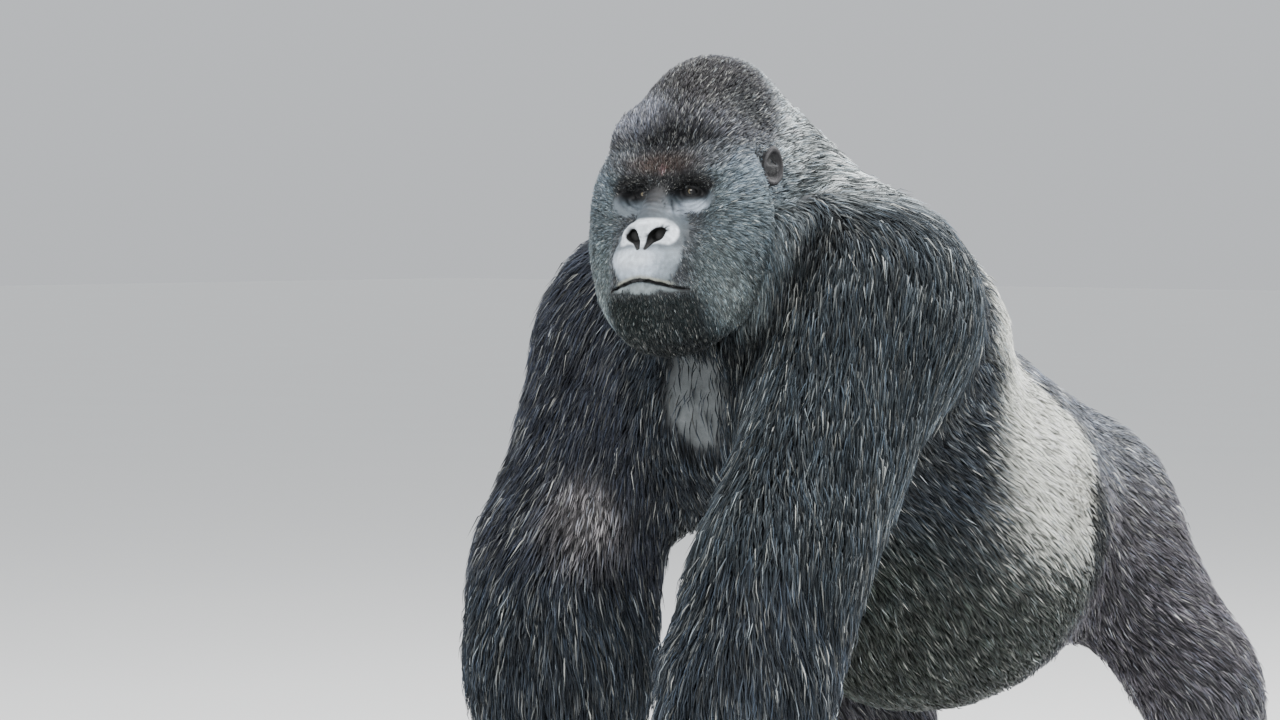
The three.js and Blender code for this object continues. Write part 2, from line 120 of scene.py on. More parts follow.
class Web:
    """The edges of a mesh, for averaging over each point's neighbours."""

    def __init__(self, mesh):
        ends = read(mesh.edges, "vertices", 2, np.int32)
        near = np.concatenate([ends[:, 0], ends[:, 1]])
        far = np.concatenate([ends[:, 1], ends[:, 0]])
        order = np.argsort(near, kind="stable")
        self.near, self.far = near[order], far[order]
        self.count = np.bincount(near, minlength=len(mesh.vertices))
        self.start = np.concatenate([[0], np.cumsum(self.count)[:-1]])

    def mean(self, values):
        return np.add.reduceat(values[self.far], self.start, axis=0) / self.count[:, None]

    def grain(self, points):
        lengths = np.linalg.norm(points[self.near] - points[self.far], axis=1)
        return np.add.reduceat(lengths, self.start) / self.count

    def blurred(self, values, times):
        for _ in range(times):
            values = 0.5 * values + 0.5 * self.mean(values)
        return values

    def smoothed(self, points, times, share=1.0):
        """Smooths without shrinking: each step in is followed by a slightly longer step out."""
        share = np.broadcast_to(share, len(points))[:, None]
        for _ in range(times):
            for step in (0.5, -0.53):
                points = points + share * step * (self.mean(points) - points)
        return points


# ---- Parts of the skin ----
def applied(obj):
    """An object's mesh with its modifiers applied."""
    graph = bpy.context.evaluated_depsgraph_get()
    return bpy.data.meshes.new_from_object(obj.evaluated_get(graph))


def remeshed(obj, grain):
    """The same closed form in even faces."""
    even = obj.modifiers.new("even", "REMESH")
    even.mode = "VOXEL"
    even.voxel_size = grain
    result = added(applied(obj))
    removed(obj)
    return result


def blob(names, grain, swell, top_raise=0.0):
    """Copies of CAD nodes, swollen until they touch, as one even mesh. The highest faces of the
    first may be raised, so that they reach into what is above them."""
    joined = bmesh.new()
    for name in names:
        piece = bmesh.new()
        piece.from_mesh(nodes[name].data)
        bmesh.ops.remove_doubles(piece, verts=piece.verts, dist=MERGED)
        piece.normal_update()
        top = max(v.co.z for v in piece.verts) - 0.001
        raised = [v for v in piece.verts if v.co.z > top] if name == names[0] else []
        for v in piece.verts:
            v.co += v.normal * swell
        for v in raised:
            v.co.z += top_raise
        mesh = bpy.data.meshes.new("piece")
        piece.to_mesh(mesh)
        piece.free()
        joined.from_mesh(mesh)
        bpy.data.meshes.remove(mesh)
    mesh = bpy.data.meshes.new("blob")
    joined.to_mesh(mesh)
    joined.free()
    return remeshed(added(mesh), grain)


def united(base, others):
    """One closed mesh of meshes that overlap."""
    for other in others:
        join = base.modifiers.new("join", "BOOLEAN")
        join.operation = "UNION"
        join.solver = "MANIFOLD"
        join.object = other
    mesh = applied(base)
    for obj in [base, *others]:
        removed(obj)
    return added(mesh, "skin")


# ---- Parts of the body ----
def group_of(name):
    """The number of the part of the body that a CAD node belongs to."""
    if name.startswith(("hand", "thumb")) or "_finger_" in name:
        return GROUPS.index("hand")
    if name.startswith(("foot", "big_toe")):
        return GROUPS.index("foot")
    if name.startswith("ear"):
        return GROUPS.index("ear")
    return GROUPS.index(name)


def nearest_group(points):
    """The part of the body that is nearest to each point."""
    corners, faces, owner = [], [], []
    count = 0
    for name in FLESH:
        mesh = nodes[name].data
        corners += [v.co.copy() for v in mesh.vertices]
        for polygon in mesh.polygons:
            faces.append([count + i for i in polygon.vertices])
            owner.append(group_of(name))
        count += len(mesh.vertices)
    tree = BVHTree.FromPolygons(corners, faces)
    return np.array([owner[tree.find_nearest(Vector(p))[2]] for p in points])


# ---- Head: forms in millimetres, each a function of points, negative inside ----
def centre_of(name):
    """Middle of a CAD node's box."""
    low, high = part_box(name)
    return np.array((low + high) / 2)


def turned(x=0.0, y=0.0, z=0.0):
    """Turns about X, then Y, then Z, in degrees."""
    spins = [Matrix.Rotation(math.radians(a), 3, axis) for a, axis in ((z, "Z"), (y, "Y"), (x, "X"))]
    return np.array(spins[0] @ spins[1] @ spins[2])


def lump(centre, radii, turn=(0, 0, 0)):
    """An egg: its centre, half its size each way, and its turn in degrees."""
    spin, radii, centre = turned(*turn), np.array(radii, float), np.array(centre, float)

    def form(p):
        q = (p - centre) @ spin / radii
        near = np.linalg.norm(q, axis=1)
        return near * (near - 1) / np.maximum(np.linalg.norm(q / radii, axis=1), 1e-9)

    return form


def bone(a, b, radius_a, radius_b=None):
    """A round bar from a to b, which may taper."""
    a, b = np.array(a, float), np.array(b, float)
    radius_b = radius_a if radius_b is None else radius_b

    def form(p):
        along = np.clip((p - a) @ (b - a) / max((b - a) @ (b - a), 1e-9), 0, 1)
        gap = np.linalg.norm(p - a - along[:, None] * (b - a), axis=1)
        return gap - (radius_a + (radius_b - radius_a) * along)

    return form


def melt(d, e, width):
    """Two forms as one, blended where they meet. Negated, it cuts the second out of the first."""
    h = np.maximum(width - np.abs(d - e), 0) / width
    return np.minimum(d, e) - h * h * width / 4


def melted(forms):
    """Forms melted into one in turn, each over its own width."""

    def form(p):
        d = np.full(len(p), 1e6)
        for part, width in forms:
            d = melt(d, part(p), width)
        return d

    return form


def pair(make):
    """What is made for the left side, then for the right."""
    return [entry for s in (1, -1) for entry in make(s)]


HEAD_FORMS = [
    (lump([0, 26, 28], [107, 134, 107]), 1),
    (lump([0, 74, 70], [91, 122, 102]), 50),
    *pair(lambda s: [
        (lump([s * 62, 10, -28], [44, 88, 68]), 40),
        (lump([s * 84, -62, -104], [52, 74, 98]), 40),
        (lump([s * 78, 22, -95], [48, 78, 86]), 40),
        (lump([s * 70, -78, -44], [42, 36, 30]), 20),
        (lump([s * 88, -62, -40], [46, 32, 70]), 34),
        (lump([s * 60, -44, 46], [46, 52, 46]), 30),
    ]),
    (lump([0, -94, -180], [103, 86, 72]), 40),
    (bone([-54, -92, 6], [54, -92, 6], 25), 30),
    (bone([-50, -94, 0], [50, -94, 0], 24), 10),
    *pair(lambda s: [(bone([s * 54, -92, 6], [s * 90, -58, -6], 25, 24), 20)]),
    (lump([0, -112, -122], [72, 74, 62]), 30),
    (bone([0, -92, -14], [0, -132, -62], 21, 24), 24),
    (lump([0, -140, -126], [60, 56, 34]), 16),
    (lump([0, -134, -172], [54, 52, 26]), 10),
    (lump([0, -120, -208], [66, 56, 46]), 24),
]
head_outline = melted(HEAD_FORMS)

EYE = dict(across=36, ahead=93, below=29, radius=12.6)
# Mouth line from its right corner to its left one.
MOUTH = [(-56, -161), (-42, -157), (-26, -152.5), (-12, -148.5), (0, -147.5), (12, -149.5),
         (26, -154), (42, -159), (58, -162)]
# Fold under each eye, from its inner corner outwards.
LID_FOLD = [(20, -113, -36), (28, -112, -42), (40, -110, -45), (54, -106, -42), (64, -98, -36)]


def mouth_line(x):
    return np.interp(x, *np.transpose(MOUTH))


def lip_front(x):
    """How far ahead the closed lips meet, at a distance across from the middle."""
    return -190 + 28 * (abs(x) / 58) ** 2


def nose_of(p):
    """The pad of the nose, with its wings."""
    d = lump([0, -156, -88], [33, 26, 23])(p)
    for s in (1, -1):
        d = melt(d, lump([s * 23, -155, -90], [15.5, 22, 21], (0, 0, s * 24))(p), 6)
        d = melt(d, bone([s * 4, -178, -106], [s * 27, -166, -107], 4.5, 7)(p), 8)
    return d


def nostril_of(s):
    """A nostril shaped like a comma: wide and high at its outer end, its tail at the middle."""
    wide_end = lump([s * 19, -173, -86.5], [11, 22, 8.5], (0, -s * 28, 0))
    tail = bone([s * 5.5, -186, -105], [s * 12, -177, -92], 2.0, 6)
    return melted([(tail, 1), (wide_end, 4)])


def face_of(p):
    """The bare face in the head's own frame: x to its left, y back, z up, from between the ears."""
    d = head_outline(p) + head_coat(p)
    for s in (1, -1):  # eye hollows, under the brow
        d = -melt(-d, lump([s * 42, -121, -33], [26, 28, 13], (0, 0, -s * 14))(p), 9)
    for s in (1, -1):  # cheek fold below each eye
        d = melt(d, bone([s * 24, -100, -46], [s * 58, -92, -48], 9, 10)(p), 9)
    # Nose: a bridge, a broad pad with a wing round each nostril.
    d = melt(d, bone([0, -116, -34], [0, -150, -66], 14, 15)(p), 16)
    d = melt(d, nose_of(p), 5)
    for s in (1, -1):
        d = -melt(-d, nostril_of(s)(p), 5)
    # Lips, rounder in the middle, running out at the corners.
    for (x0, z0), (x1, z1) in zip(MOUTH, MOUTH[1:]):
        thick = [3 + 5 * (1 - (x / 60) ** 2) for x in (x0, x1)]
        ends = list(zip((x0, x1), (z0, z1), thick))
        for up in (1, -1):
            tube = [[x, lip_front(x) + w + 1, z + up * w] for x, z, w in ends]
            d = melt(d, bone(*tube, *thick)(p), 14)
    for (x0, z0), (x1, z1) in zip(MOUTH, MOUTH[1:]):
        narrow = [2.6 - 1.8 * (x / 60) ** 2 for x in (x0, x1)]
        cleft = bone([x0, lip_front(x0) - 1, z0], [x1, lip_front(x1) - 1, z1], *narrow)
        d = -melt(-d, cleft(p), 3)
    for s in (1, -1):  # fold beside the nose, fold from the eye's inner corner
        d = -melt(-d, bone([s * 49, -150, -76], [s * 54, -158, -112], 3.0, 1.5)(p), 7)
        d = -melt(-d, bone([s * 20, -126, -44], [s * 36, -142, -64], 2.5, 1.5)(p), 7)
    # Lids: a shell over each eyeball with an almond opening.
    for s in (1, -1):
        eye = np.array([s * EYE["across"], -EYE["ahead"], -EYE["below"]])
        shell = lump(eye, [EYE["radius"] + 2.4] * 3)(p)
        opening = lump(eye + [s * 0.5, -11, 0.2], [11.2, 14, 5.4], (0, s * 6, 0))(p)
        d = melt(d, shell, 5)
        d = -melt(-d, opening, 1.5)
        for (ax, ay, az), (bx, by, bz) in zip(LID_FOLD, LID_FOLD[1:]):
            d = -melt(-d, bone([s * ax, ay, az], [s * bx, by, bz], 0.8)(p), 4)
    for s in (1, -1):
        d = melt(d, ear_of(s)(p), 5)
    return d + wrinkles(p)


def wrinkles(p):
    """Fine folds across the bridge of the nose and round the lower half of each eye."""
    x, _, z = p.T
    bridge = np.exp(-((x / 20) ** 2) - ((z + 46) / 13) ** 2) * np.sin((z + 0.02 * x**2) / 1.0)
    ring = np.hypot((np.abs(x) - 38) / 1.25, z + 28)
    below = ramp(z, -30, -38) * ramp(ring, 13, 17) * ramp(ring, 34, 26) * np.sin(ring / 0.9)
    return (0.45 * bridge + 0.4 * below) * (p[:, 1] < -70)


EAR_BOWL = lump([5, -3, -2], [9, 9, 14])


def ear_turn(s):
    """How the ear on one side is turned in the head's frame."""
    return turned(-8, 0, -s * 24)


def ear_centre(s, sunk):
    """Middle of an ear in the head's frame, set into the head by some millimetres."""
    return in_head(centre_of("ear_left" if s > 0 else "ear_right")) - np.array([s * sunk, 0, 0])


def in_ear(p, s):
    """Points in the ear's own frame: out of its bowl, back and up."""
    return (p - ear_centre(s, 5)) @ ear_turn(s) * [s, 1, 1]


def ear_of(s):
    """An ear: a plate with a rolled rim round a deep bowl."""

    def form(p):
        q = in_ear(p, s)
        out, back, up = q.T
        d = lump([-3, 0, 0], [6, 15, 23])(q)
        rim = np.hypot(back / 15.5, (up + 0.02 * back**2) / 23.5)
        d = melt(d, np.hypot((rim - 1) * 17, out - 3) - 3.4, 3)
        d = melt(d, bone([-18, 2, -4], [-4, 0, -4], 15, 12)(q), 4)
        d = -melt(-d, EAR_BOWL(q), 3)
        d = -melt(-d, bone([3, 2, 12], [3, 9, -2], 2.5)(q), 3)
        return melt(d, bone([3, -11, -9], [4, -12, -2], 4)(q), 3)

    return form


def head_coat(p):
    """Depth of the coat on the head, in millimetres: none on the bare face."""
    bare = np.hypot(p[:, 0] / 62, (p[:, 2] + 98) / 76)
    depth = 3 * ramp(bare, 0.85, 1.3) + 6 * ramp(bare, 1.3, 1.9)
    return np.where(p[:, 1] < -40, depth, 10.0)


def seated(p, form, steps, relax=None):
    """Moves points onto the form along its slope, and may relax them after each step."""
    for _ in range(steps):
        d = form(p)
        slope = np.column_stack([(form(p + axis) - d) / 0.4 for axis in 0.4 * np.eye(3)])
        size = np.maximum((slope * slope).sum(axis=1), 0.25)
        move = (d / size)[:, None] * slope
        length = np.linalg.norm(move, axis=1, keepdims=True)
        p = p - move * np.minimum(1, 6 / np.maximum(length, 1e-9))
        if relax is not None:
            p = relax(p)
    return p


eye_left, eye_right = centre_of("eye_left"), centre_of("eye_right")
across = unit(eye_left - eye_right)
behind = unit(np.cross([0, 0, 1], across))
HEAD_AXES = np.stack([across, behind, np.cross(across, behind)])
HEAD_AT = (eye_left + eye_right) / 2 + 0.001 * (EYE["ahead"] * behind + EYE["below"] * HEAD_AXES[2])


def in_head(points):
    """Places in the head's frame, in millimetres."""
    return 1000 * (points - HEAD_AT) @ HEAD_AXES.T


def from_head(p):
    """Places in the whole object's frame, in metres."""
    return 0.001 * p @ HEAD_AXES + HEAD_AT


def ear_blob(side):
    """A plain egg where the ear is, reaching into the head, for the ear's form to shape."""
    egg = bmesh.new()
    bmesh.ops.create_icosphere(egg, subdivisions=4, radius=1)
    mesh = bpy.data.meshes.new("ear")
    egg.to_mesh(mesh)
    egg.free()
    s = SIDES[side]
    p = points_of(mesh) * [15, 19, 27] @ ear_turn(s).T + ear_centre(s, 6)
    move_points(mesh, from_head(p))
    return remeshed(added(mesh), EAR_GRAIN)


def shares(mesh, blur):
    """How much each point of a mesh belongs to each part of the body."""
    return Web(mesh).blurred(np.eye(len(GROUPS))[nearest_group(points_of(mesh))], blur)


def by_group(share, default, **values):
    """A value at each point, from a value for each part of the body."""
    table = np.full(len(GROUPS), float(default))
    for i, name in enumerate(GROUPS):
        for key in (name, name.rsplit("_", 1)[0]):
            if key in values:
                table[i] = values[key]
    return share @ table


COAT_DEPTH = dict(
    head=0.010, neck=0.020, chest=0.016, belly=0.014, rump=0.018, upper_arm=0.026, forearm=0.026,
    thigh=0.020, shank=0.018,
)
DRAWN_IN = 6  # steps
WRIST, ANKLE = 0.152, 0.092  # height above the floor
CUFF = 0.11  # over which the coat thins above them
HEAD_REACH = 0.34  # from between the ears, of the points that the head's form may move


# ---- The skin: the solids joined, rounded and drawn in by the depth of the coat ----
body = blob(TRUNK + LIMBS, BODY_GRAIN, 0.0015)
web = Web(body.data)
points = web.smoothed(points_of(body.data), 30)
depth = by_group(shares(body.data, 10), 0.01, **COAT_DEPTH)
for height, front in ((WRIST, True), (ANKLE, False)):
    reach = ramp(points[:, 2], height, height + CUFF)
    limb = points[:, 1] < 0.1 if front else points[:, 1] > 0.1
    depth = np.where(limb & (points[:, 2] < height + CUFF), 0.006 + (depth - 0.006) * reach, depth)
depth = web.blurred(depth[:, None], 12)[:, 0]
for _ in range(DRAWN_IN):
    move_points(body.data, points)
    points = points - normals_of(body.data) * (depth / DRAWN_IN)[:, None]
    points = web.smoothed(points, 2)
move_points(body.data, points)
body = remeshed(body, BODY_GRAIN)
fine = [blob(names, HAND_GRAIN, 0.0003, 0.03) for names in HANDS.values()]
fine += [blob(names, FOOT_GRAIN, 0.0003, 0.03) for names in FEET.values()]
fine += [ear_blob(side) for side in SIDES]
skin = united(body, fine)
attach(skin, "root")
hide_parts(*FLESH)
web = Web(skin.data)
points = points_of(skin.data)
coarse = ramp(web.grain(points), 0.005, 0.008)
joins = sum(ramp(np.abs(points[:, 2] - height - 0.01), 0.05, 0.01) for height in (WRIST, ANKLE))
joins = web.blurred(joins[:, None], 3)[:, 0]
points = web.smoothed(points, 8)
points = web.smoothed(points, 12, np.clip(coarse + joins, 0, 1))
move_points(skin.data, points)


def split_faces(mesh, chosen):
    """Splits the chosen faces of a mesh in four."""
    work = bmesh.new()
    work.from_mesh(mesh)
    work.faces.ensure_lookup_table()
    edges = {e for i in np.flatnonzero(chosen) for e in work.faces[i].edges}
    bmesh.ops.subdivide_edges(work, edges=list(edges), cuts=1, use_grid_fill=True)
    work.to_mesh(mesh)
    work.free()


def face_centres(mesh):
    return read(mesh.polygons, "center").astype(float)


def on_head(p):
    """Share of the face form in the skin at points near the head."""
    hold = ramp(p[:, 1], 70, 20) * ramp(np.abs(head_outline(p) + 10), 22, 10)
    for s in (1, -1):
        hold = np.maximum(hold, ramp(ear_of(s)(p), 12, 6))
    return hold


def in_reach(q, stage):
    """Where the face gets finer faces at each stage: all its front, then its bare part, and
    at last the lids, nostrils and mouth."""
    x, y, z = q.T
    front = (np.abs(head_outline(q)) < 30) & (y < -28)
    if stage < 3:
        return front & (np.abs(x) < 112) & (z > -255) & (z < 45)
    if stage < 4:
        return front & (y < -78) & (np.abs(x) < 66) & (z > -186) & (z < -6)
    opening = [0, -EYE["ahead"] - 8, -EYE["below"]]
    eyes = np.linalg.norm(q - opening - np.outer(np.sign(x), [EYE["across"], 0, 0]), axis=1)
    mouth = np.abs(z - mouth_line(x)) + 100 * (np.abs(x) > 60)
    nose = np.minimum(nostril_of(1)(q), nostril_of(-1)(q))
    return front & (y < -78) & ((eyes < 18) | (mouth < 6) | (nose < 3))


# The head's points move onto the face's form, first all, then four more times as faces are split.
for stage in range(5):
    if stage:
        split_faces(skin.data, in_reach(in_head(face_centres(skin.data)), stage))
    web = Web(skin.data)
    points = points_of(skin.data)
    near = np.linalg.norm(points - HEAD_AT, axis=1) < HEAD_REACH
    if stage > 2:
        near[near] = in_reach(in_head(points[near]), stage)
    p = in_head(points[near])
    hold = on_head(p)[:, None]

    def relax(q):
        points[near] = from_head(q)
        relaxed = in_head(web.mean(points)[near])
        return q + 0.35 * hold * (relaxed - q)

    target = seated(p, face_of, 3, relax)
    target = seated(target, face_of, 2)
    points[near] = from_head(p + hold * (target - p))
    move_points(skin.data, points)

skin.data.shade_smooth()
web = Web(skin.data)
points, normals = points_of(skin.data), normals_of(skin.data)
local = in_head(points)
share = shares(skin.data, 10)


# ---- Markings, the same for skin and coat ----
def of(name):
    """Share of one part of the body, both sides, at each point of the skin."""
    return by_group(share, 0, **{name: 1})


def mixed(colour, other, amount):
    return colour + np.clip(amount, 0, 1)[:, None] * (np.array(other) - colour)


def painted(base, layers):
    """A colour at each point: a base with others laid over it in turn, each by its amount."""
    colour = np.tile(base, (len(points), 1))
    for other, amount in layers:
        colour = mixed(colour, other, amount)
    return colour


def unevenness(blur):
    """Chance swells over the skin: about 1 either way, wider the more they are blurred."""
    swell = web.blurred(draw.normal(0, 1, (len(points), 1)), blur)[:, 0]
    return np.clip(swell / np.std(swell), -2, 2)


def egg(p, centre, radii, soft=0.35):
    """1 inside an egg-shaped place, fading to 0 just outside it."""
    far = np.linalg.norm((p - np.array(centre)) / np.array(radii, float), axis=1)
    return ramp(far, 1 + soft, 1 - soft)


BLACK_HAIR = (0.023, 0.029, 0.037)
SILVER_HAIR = (0.88, 0.89, 0.82)
GREY_HAIR = (0.088, 0.082, 0.094)
x, y, z = points.T
hx, hy, hz = local.T
wide = np.abs(hx)
facing = np.column_stack([hx, hz])
half_facing = np.column_stack([wide, hz])
half_head = np.column_stack([wide, hy, hz])
flank = np.column_stack([np.abs(x), y, z])

# The saddle: silver over the back and flanks, fading ahead and below; grey hips behind it.
saddle = ramp(y, -0.07, 0.075) * ramp(z, 0.44, 0.64) * ramp(np.abs(x), 0.12, 0.2)
saddle = np.maximum(saddle, ramp(y, -0.10, 0.03) * ramp(z, 0.78, 0.84))
hip_edge = 0.20 - 0.09 * ramp(z, 0.69, 0.80)
hips = ramp(y, hip_edge - 0.03, hip_edge + 0.035)
saddle *= 1 - 0.94 * hips
trunk = of("belly") + of("chest") + of("rump")
# Painted shade in the fold where the thigh meets the rump: dark hair there, and the silver held back from
# it.
hip_crease_shade = egg(flank, (0.30, 0.205, 0.56), (0.09, 0.035, 0.09)) * trunk
hip_hollow = egg(flank, (0.305, 0.145, 0.625), (0.08, 0.036, 0.062), 0.4)
# Painted shade: dark hair under each arm, between the arm and the flank.
armpit_shade = egg(flank, (0.30, -0.16, 0.70), (0.10, 0.05, 0.16)) * trunk
silver = np.clip(saddle * trunk, 0, 1) * (1 - 0.95 * hip_crease_shade) * (1 - 0.5 * hip_hollow)
# Painted highlight: the coat paler and bluer on top of each shoulder and the neck, where the light from
# above falls.
shoulder_highlight = (of("upper_arm") + of("chest") + of("neck")) * ramp(z, 0.93, 1.05)
elbow_patch = egg(points, (-0.155, -0.415, 0.60), (0.046, 0.06, 0.060), 0.6)
chest_patch = egg(points, (0.044, -0.40, 0.755), (0.062, 0.07, 0.075), 0.3)
chest_patch = chest_patch * (of("chest") + of("neck"))

body_hair = painted(BLACK_HAIR, [
    (GREY_HAIR, of("thigh") + (of("rump") + of("belly")) * hips + 0.7 * of("shank")),
    # Painted light: the top of the rump paler and bluer, where light from above falls on it.
    ((0.12, 0.128, 0.146), trunk * hips * ramp(z, 0.56, 0.70)),  # top of the rump
    ((0.036, 0.043, 0.036), of("belly") * ramp(z, 0.60, 0.45)),  # underside
    # painted shade in the fold by the hip
    ((0.010, 0.012, 0.013), 0.9 * hip_crease_shade),
    ((0.42, 0.41, 0.36), 0.8 * hip_hollow),
    # painted shade under each arm
    ((0.012, 0.014, 0.015), 0.8 * armpit_shade),
    ((0.030, 0.038, 0.030), of("chest") * ramp(z, 0.62, 0.50) * ramp(y, 0.1, -0.1)),
    # painted highlight on top of each shoulder
    ((0.085, 0.094, 0.104), 0.7 * shoulder_highlight),
    ((0.032, 0.034, 0.048), 0.6 * of("upper_arm") * ramp(x, 0, -0.1)),  # right arm
    ((0.038, 0.048, 0.055), 0.7 * of("upper_arm") * ramp(x, 0, 0.1)),  # left arm
    ((0.27, 0.255, 0.26), 0.9 * elbow_patch),
])

# Painted shade along the crease from behind the ear round under the cheek, where the head meets the neck and
# shoulder, in the head's frame.
CREASE = [(196, -22, -78), (187, -32, -90), (174, -60, -130), (155, -72, -163), (138, -80, -196),
          (112, -76, -223), (76, -66, -242)]
from_crease = np.min([bone(a, b, 14)(half_head) for a, b in zip(CREASE, CREASE[1:])], axis=0)
crease = np.where(of("head") > 0.4, ramp(from_crease, 20, 2), ramp(from_crease, 36, 5))
# The band over the eyes and between them: dark bare skin, darkened further as painted shadow cast by the
# brow.
eye_hollows = egg(half_facing, (43, -22), (36, 18), 0.3)
between_eyes = np.maximum(egg(facing, (2, -20), (44, 13), 0.4), 0.93 * egg(facing, (0, -29), (20, 15), 0.35))
eye_skin_and_shadow = np.maximum(eye_hollows, between_eyes)
nape_edge = 5 + 0.42 * np.maximum(hz - 20, 0)
nape = ramp(hy, nape_edge, nape_edge + 55) * ramp(hz, -60, 20)
ruff = egg(half_head, (148, -20, -75), (22, 45, 45), 0.5)
crown_sides = egg(half_head, (92, -22, 84), (36, 48, 36), 0.6)

# The head: grey cheeks, dark chin, brown brow, and a nape of grey and white.
head_hair = painted((0.075, 0.082, 0.090), [
    ((0.108, 0.136, 0.148), ramp(wide, 48, 78) * ramp(hz, 10, -15)),  # cheeks
    ((0.15, 0.185, 0.215), 0.5 * egg(half_facing, (106, -10), (22, 34))),  # temples
    ((0.14, 0.17, 0.17), 0.7 * egg(half_facing, (88, -140), (26, 44), 0.5)),
    ((0.011, 0.017, 0.017), ramp(hz, -150, -178) * ramp(wide, 92, 54)),  # chin
    ((0.010, 0.013, 0.013), ramp(hz, -205, -236)),
    ((0.20, 0.235, 0.235), 0.85 * egg(half_facing, (102, -180), (22, 44), 0.5)),  # jaw
    ((0.050, 0.050, 0.057), ramp(hz, 18, 50)),  # forehead and crown
    ((0.044, 0.029, 0.024), egg(local, (2, -118, 8), (50, 40, 17), 0.6)),  # brow
    ((0.004, 0.004, 0.006), egg(local, (5, -104, 42), (54, 46, 21), 0.5)),
    ((0.013, 0.011, 0.012), egg(local, (30, -20, 116), (84, 84, 50), 0.5)),  # top
    # Painted sheen: a pale blue patch on the right front of the crown, where the hair catches the light.
    ((0.15, 0.155, 0.18), egg(local, (-50, -74, 76), (40, 44, 32), 0.5)),
    ((0.008, 0.009, 0.010), 0.95 * crown_sides),
    # painted shadow under the brow, over the eyes
    ((0.006, 0.006, 0.007), eye_skin_and_shadow * (hy < -60)),
    ((0.26, 0.16, 0.16), 0.8 * egg(facing, (4, -1), (3, 6), 0.4) * (hy < -90)),  # spot on the brow
    ((0.065, 0.078, 0.090), 0.8 * egg(half_head, (122, -20, 2), (30, 30, 34), 0.5)),  # before the ear
    ((0.50, 0.54, 0.54), nape),
    ((0.36, 0.40, 0.41), 0.8 * ruff),
])
hair_colour = mixed(body_hair, head_hair, of("head") + of("ear"))
neck_light = of("neck") * ramp(z, 0.98, 1.06) * ramp(hy, -40, 20)
hair_colour = mixed(hair_colour, (0.50, 0.54, 0.54), neck_light)
# painted shade along the line under the jaw
hair_colour = mixed(hair_colour, (0.008, 0.010, 0.011), 0.92 * crease)
speckled = np.clip(nape + neck_light + 0.6 * ruff, 0, 1) * (of("head") + of("neck"))

# Bare places.
uneven = 0.03 * unevenness(10)
muzzle = ramp(np.hypot(hx / 52, (hz + 104) / 61) + uneven, 1.16, 0.92) * (hy < -70)
under_eyes = ramp(np.hypot((wide - 45) / 31, (hz + 41) / 19) + uneven, 1.2, 0.92) * (hy < -60)
nose_root = egg(facing, (0, -38), (20, 17), 0.3) * (hy < -80)
lip_band = 11 - 7 * ramp(wide, 32, 62)
lips = ramp(np.abs(hz - mouth_line(hx) - 0.5) / lip_band, 1, 0.55) * ramp(wide, 68, 60) * (hy < -100)
bare_face = np.max([muzzle, under_eyes, nose_root, lips], axis=0) * of("head")
bare_hands = of("hand") * np.maximum(ramp(z, 0.085, 0.070), ramp(normals[:, 1], 0.2, 0.5))
bare_feet = of("foot") * ramp(np.maximum(z, 0.04 * (normals[:, 2] > 0.3)), 0.075, 0.055)
from_ear = np.minimum(ear_of(1)(local), ear_of(-1)(local))
bare_ears = np.maximum(of("ear") > 0.8, ramp(from_ear, 2.5, 0.5))
bare = np.clip(bare_face + bare_hands + bare_feet + bare_ears + 0.9 * chest_patch, 0, 1)

# Colours of the bare skin. The face is slate, with a pale lip, a nose pad painted pale as a painted wet
# sheen, and black eye hollows with painted shadow from the brow;
# and painted shade in the nostrils and along the closed mouth, by how deep the skin lies there.
from_bowl = np.minimum(EAR_BOWL(in_ear(local, 1)), EAR_BOWL(in_ear(local, -1)))
from_nostril = np.minimum(nostril_of(1)(local), nostril_of(-1)(local))
over_mouth = (hz - mouth_line(hx)) + 100 * (wide > 61)
cleft = ramp(np.abs(over_mouth), 3.4, 1.9) * (hy < -120)
lip_edge = ramp(over_mouth, 8, 5) * ramp(over_mouth, 1, 3) * ramp(wide, 50, 36)
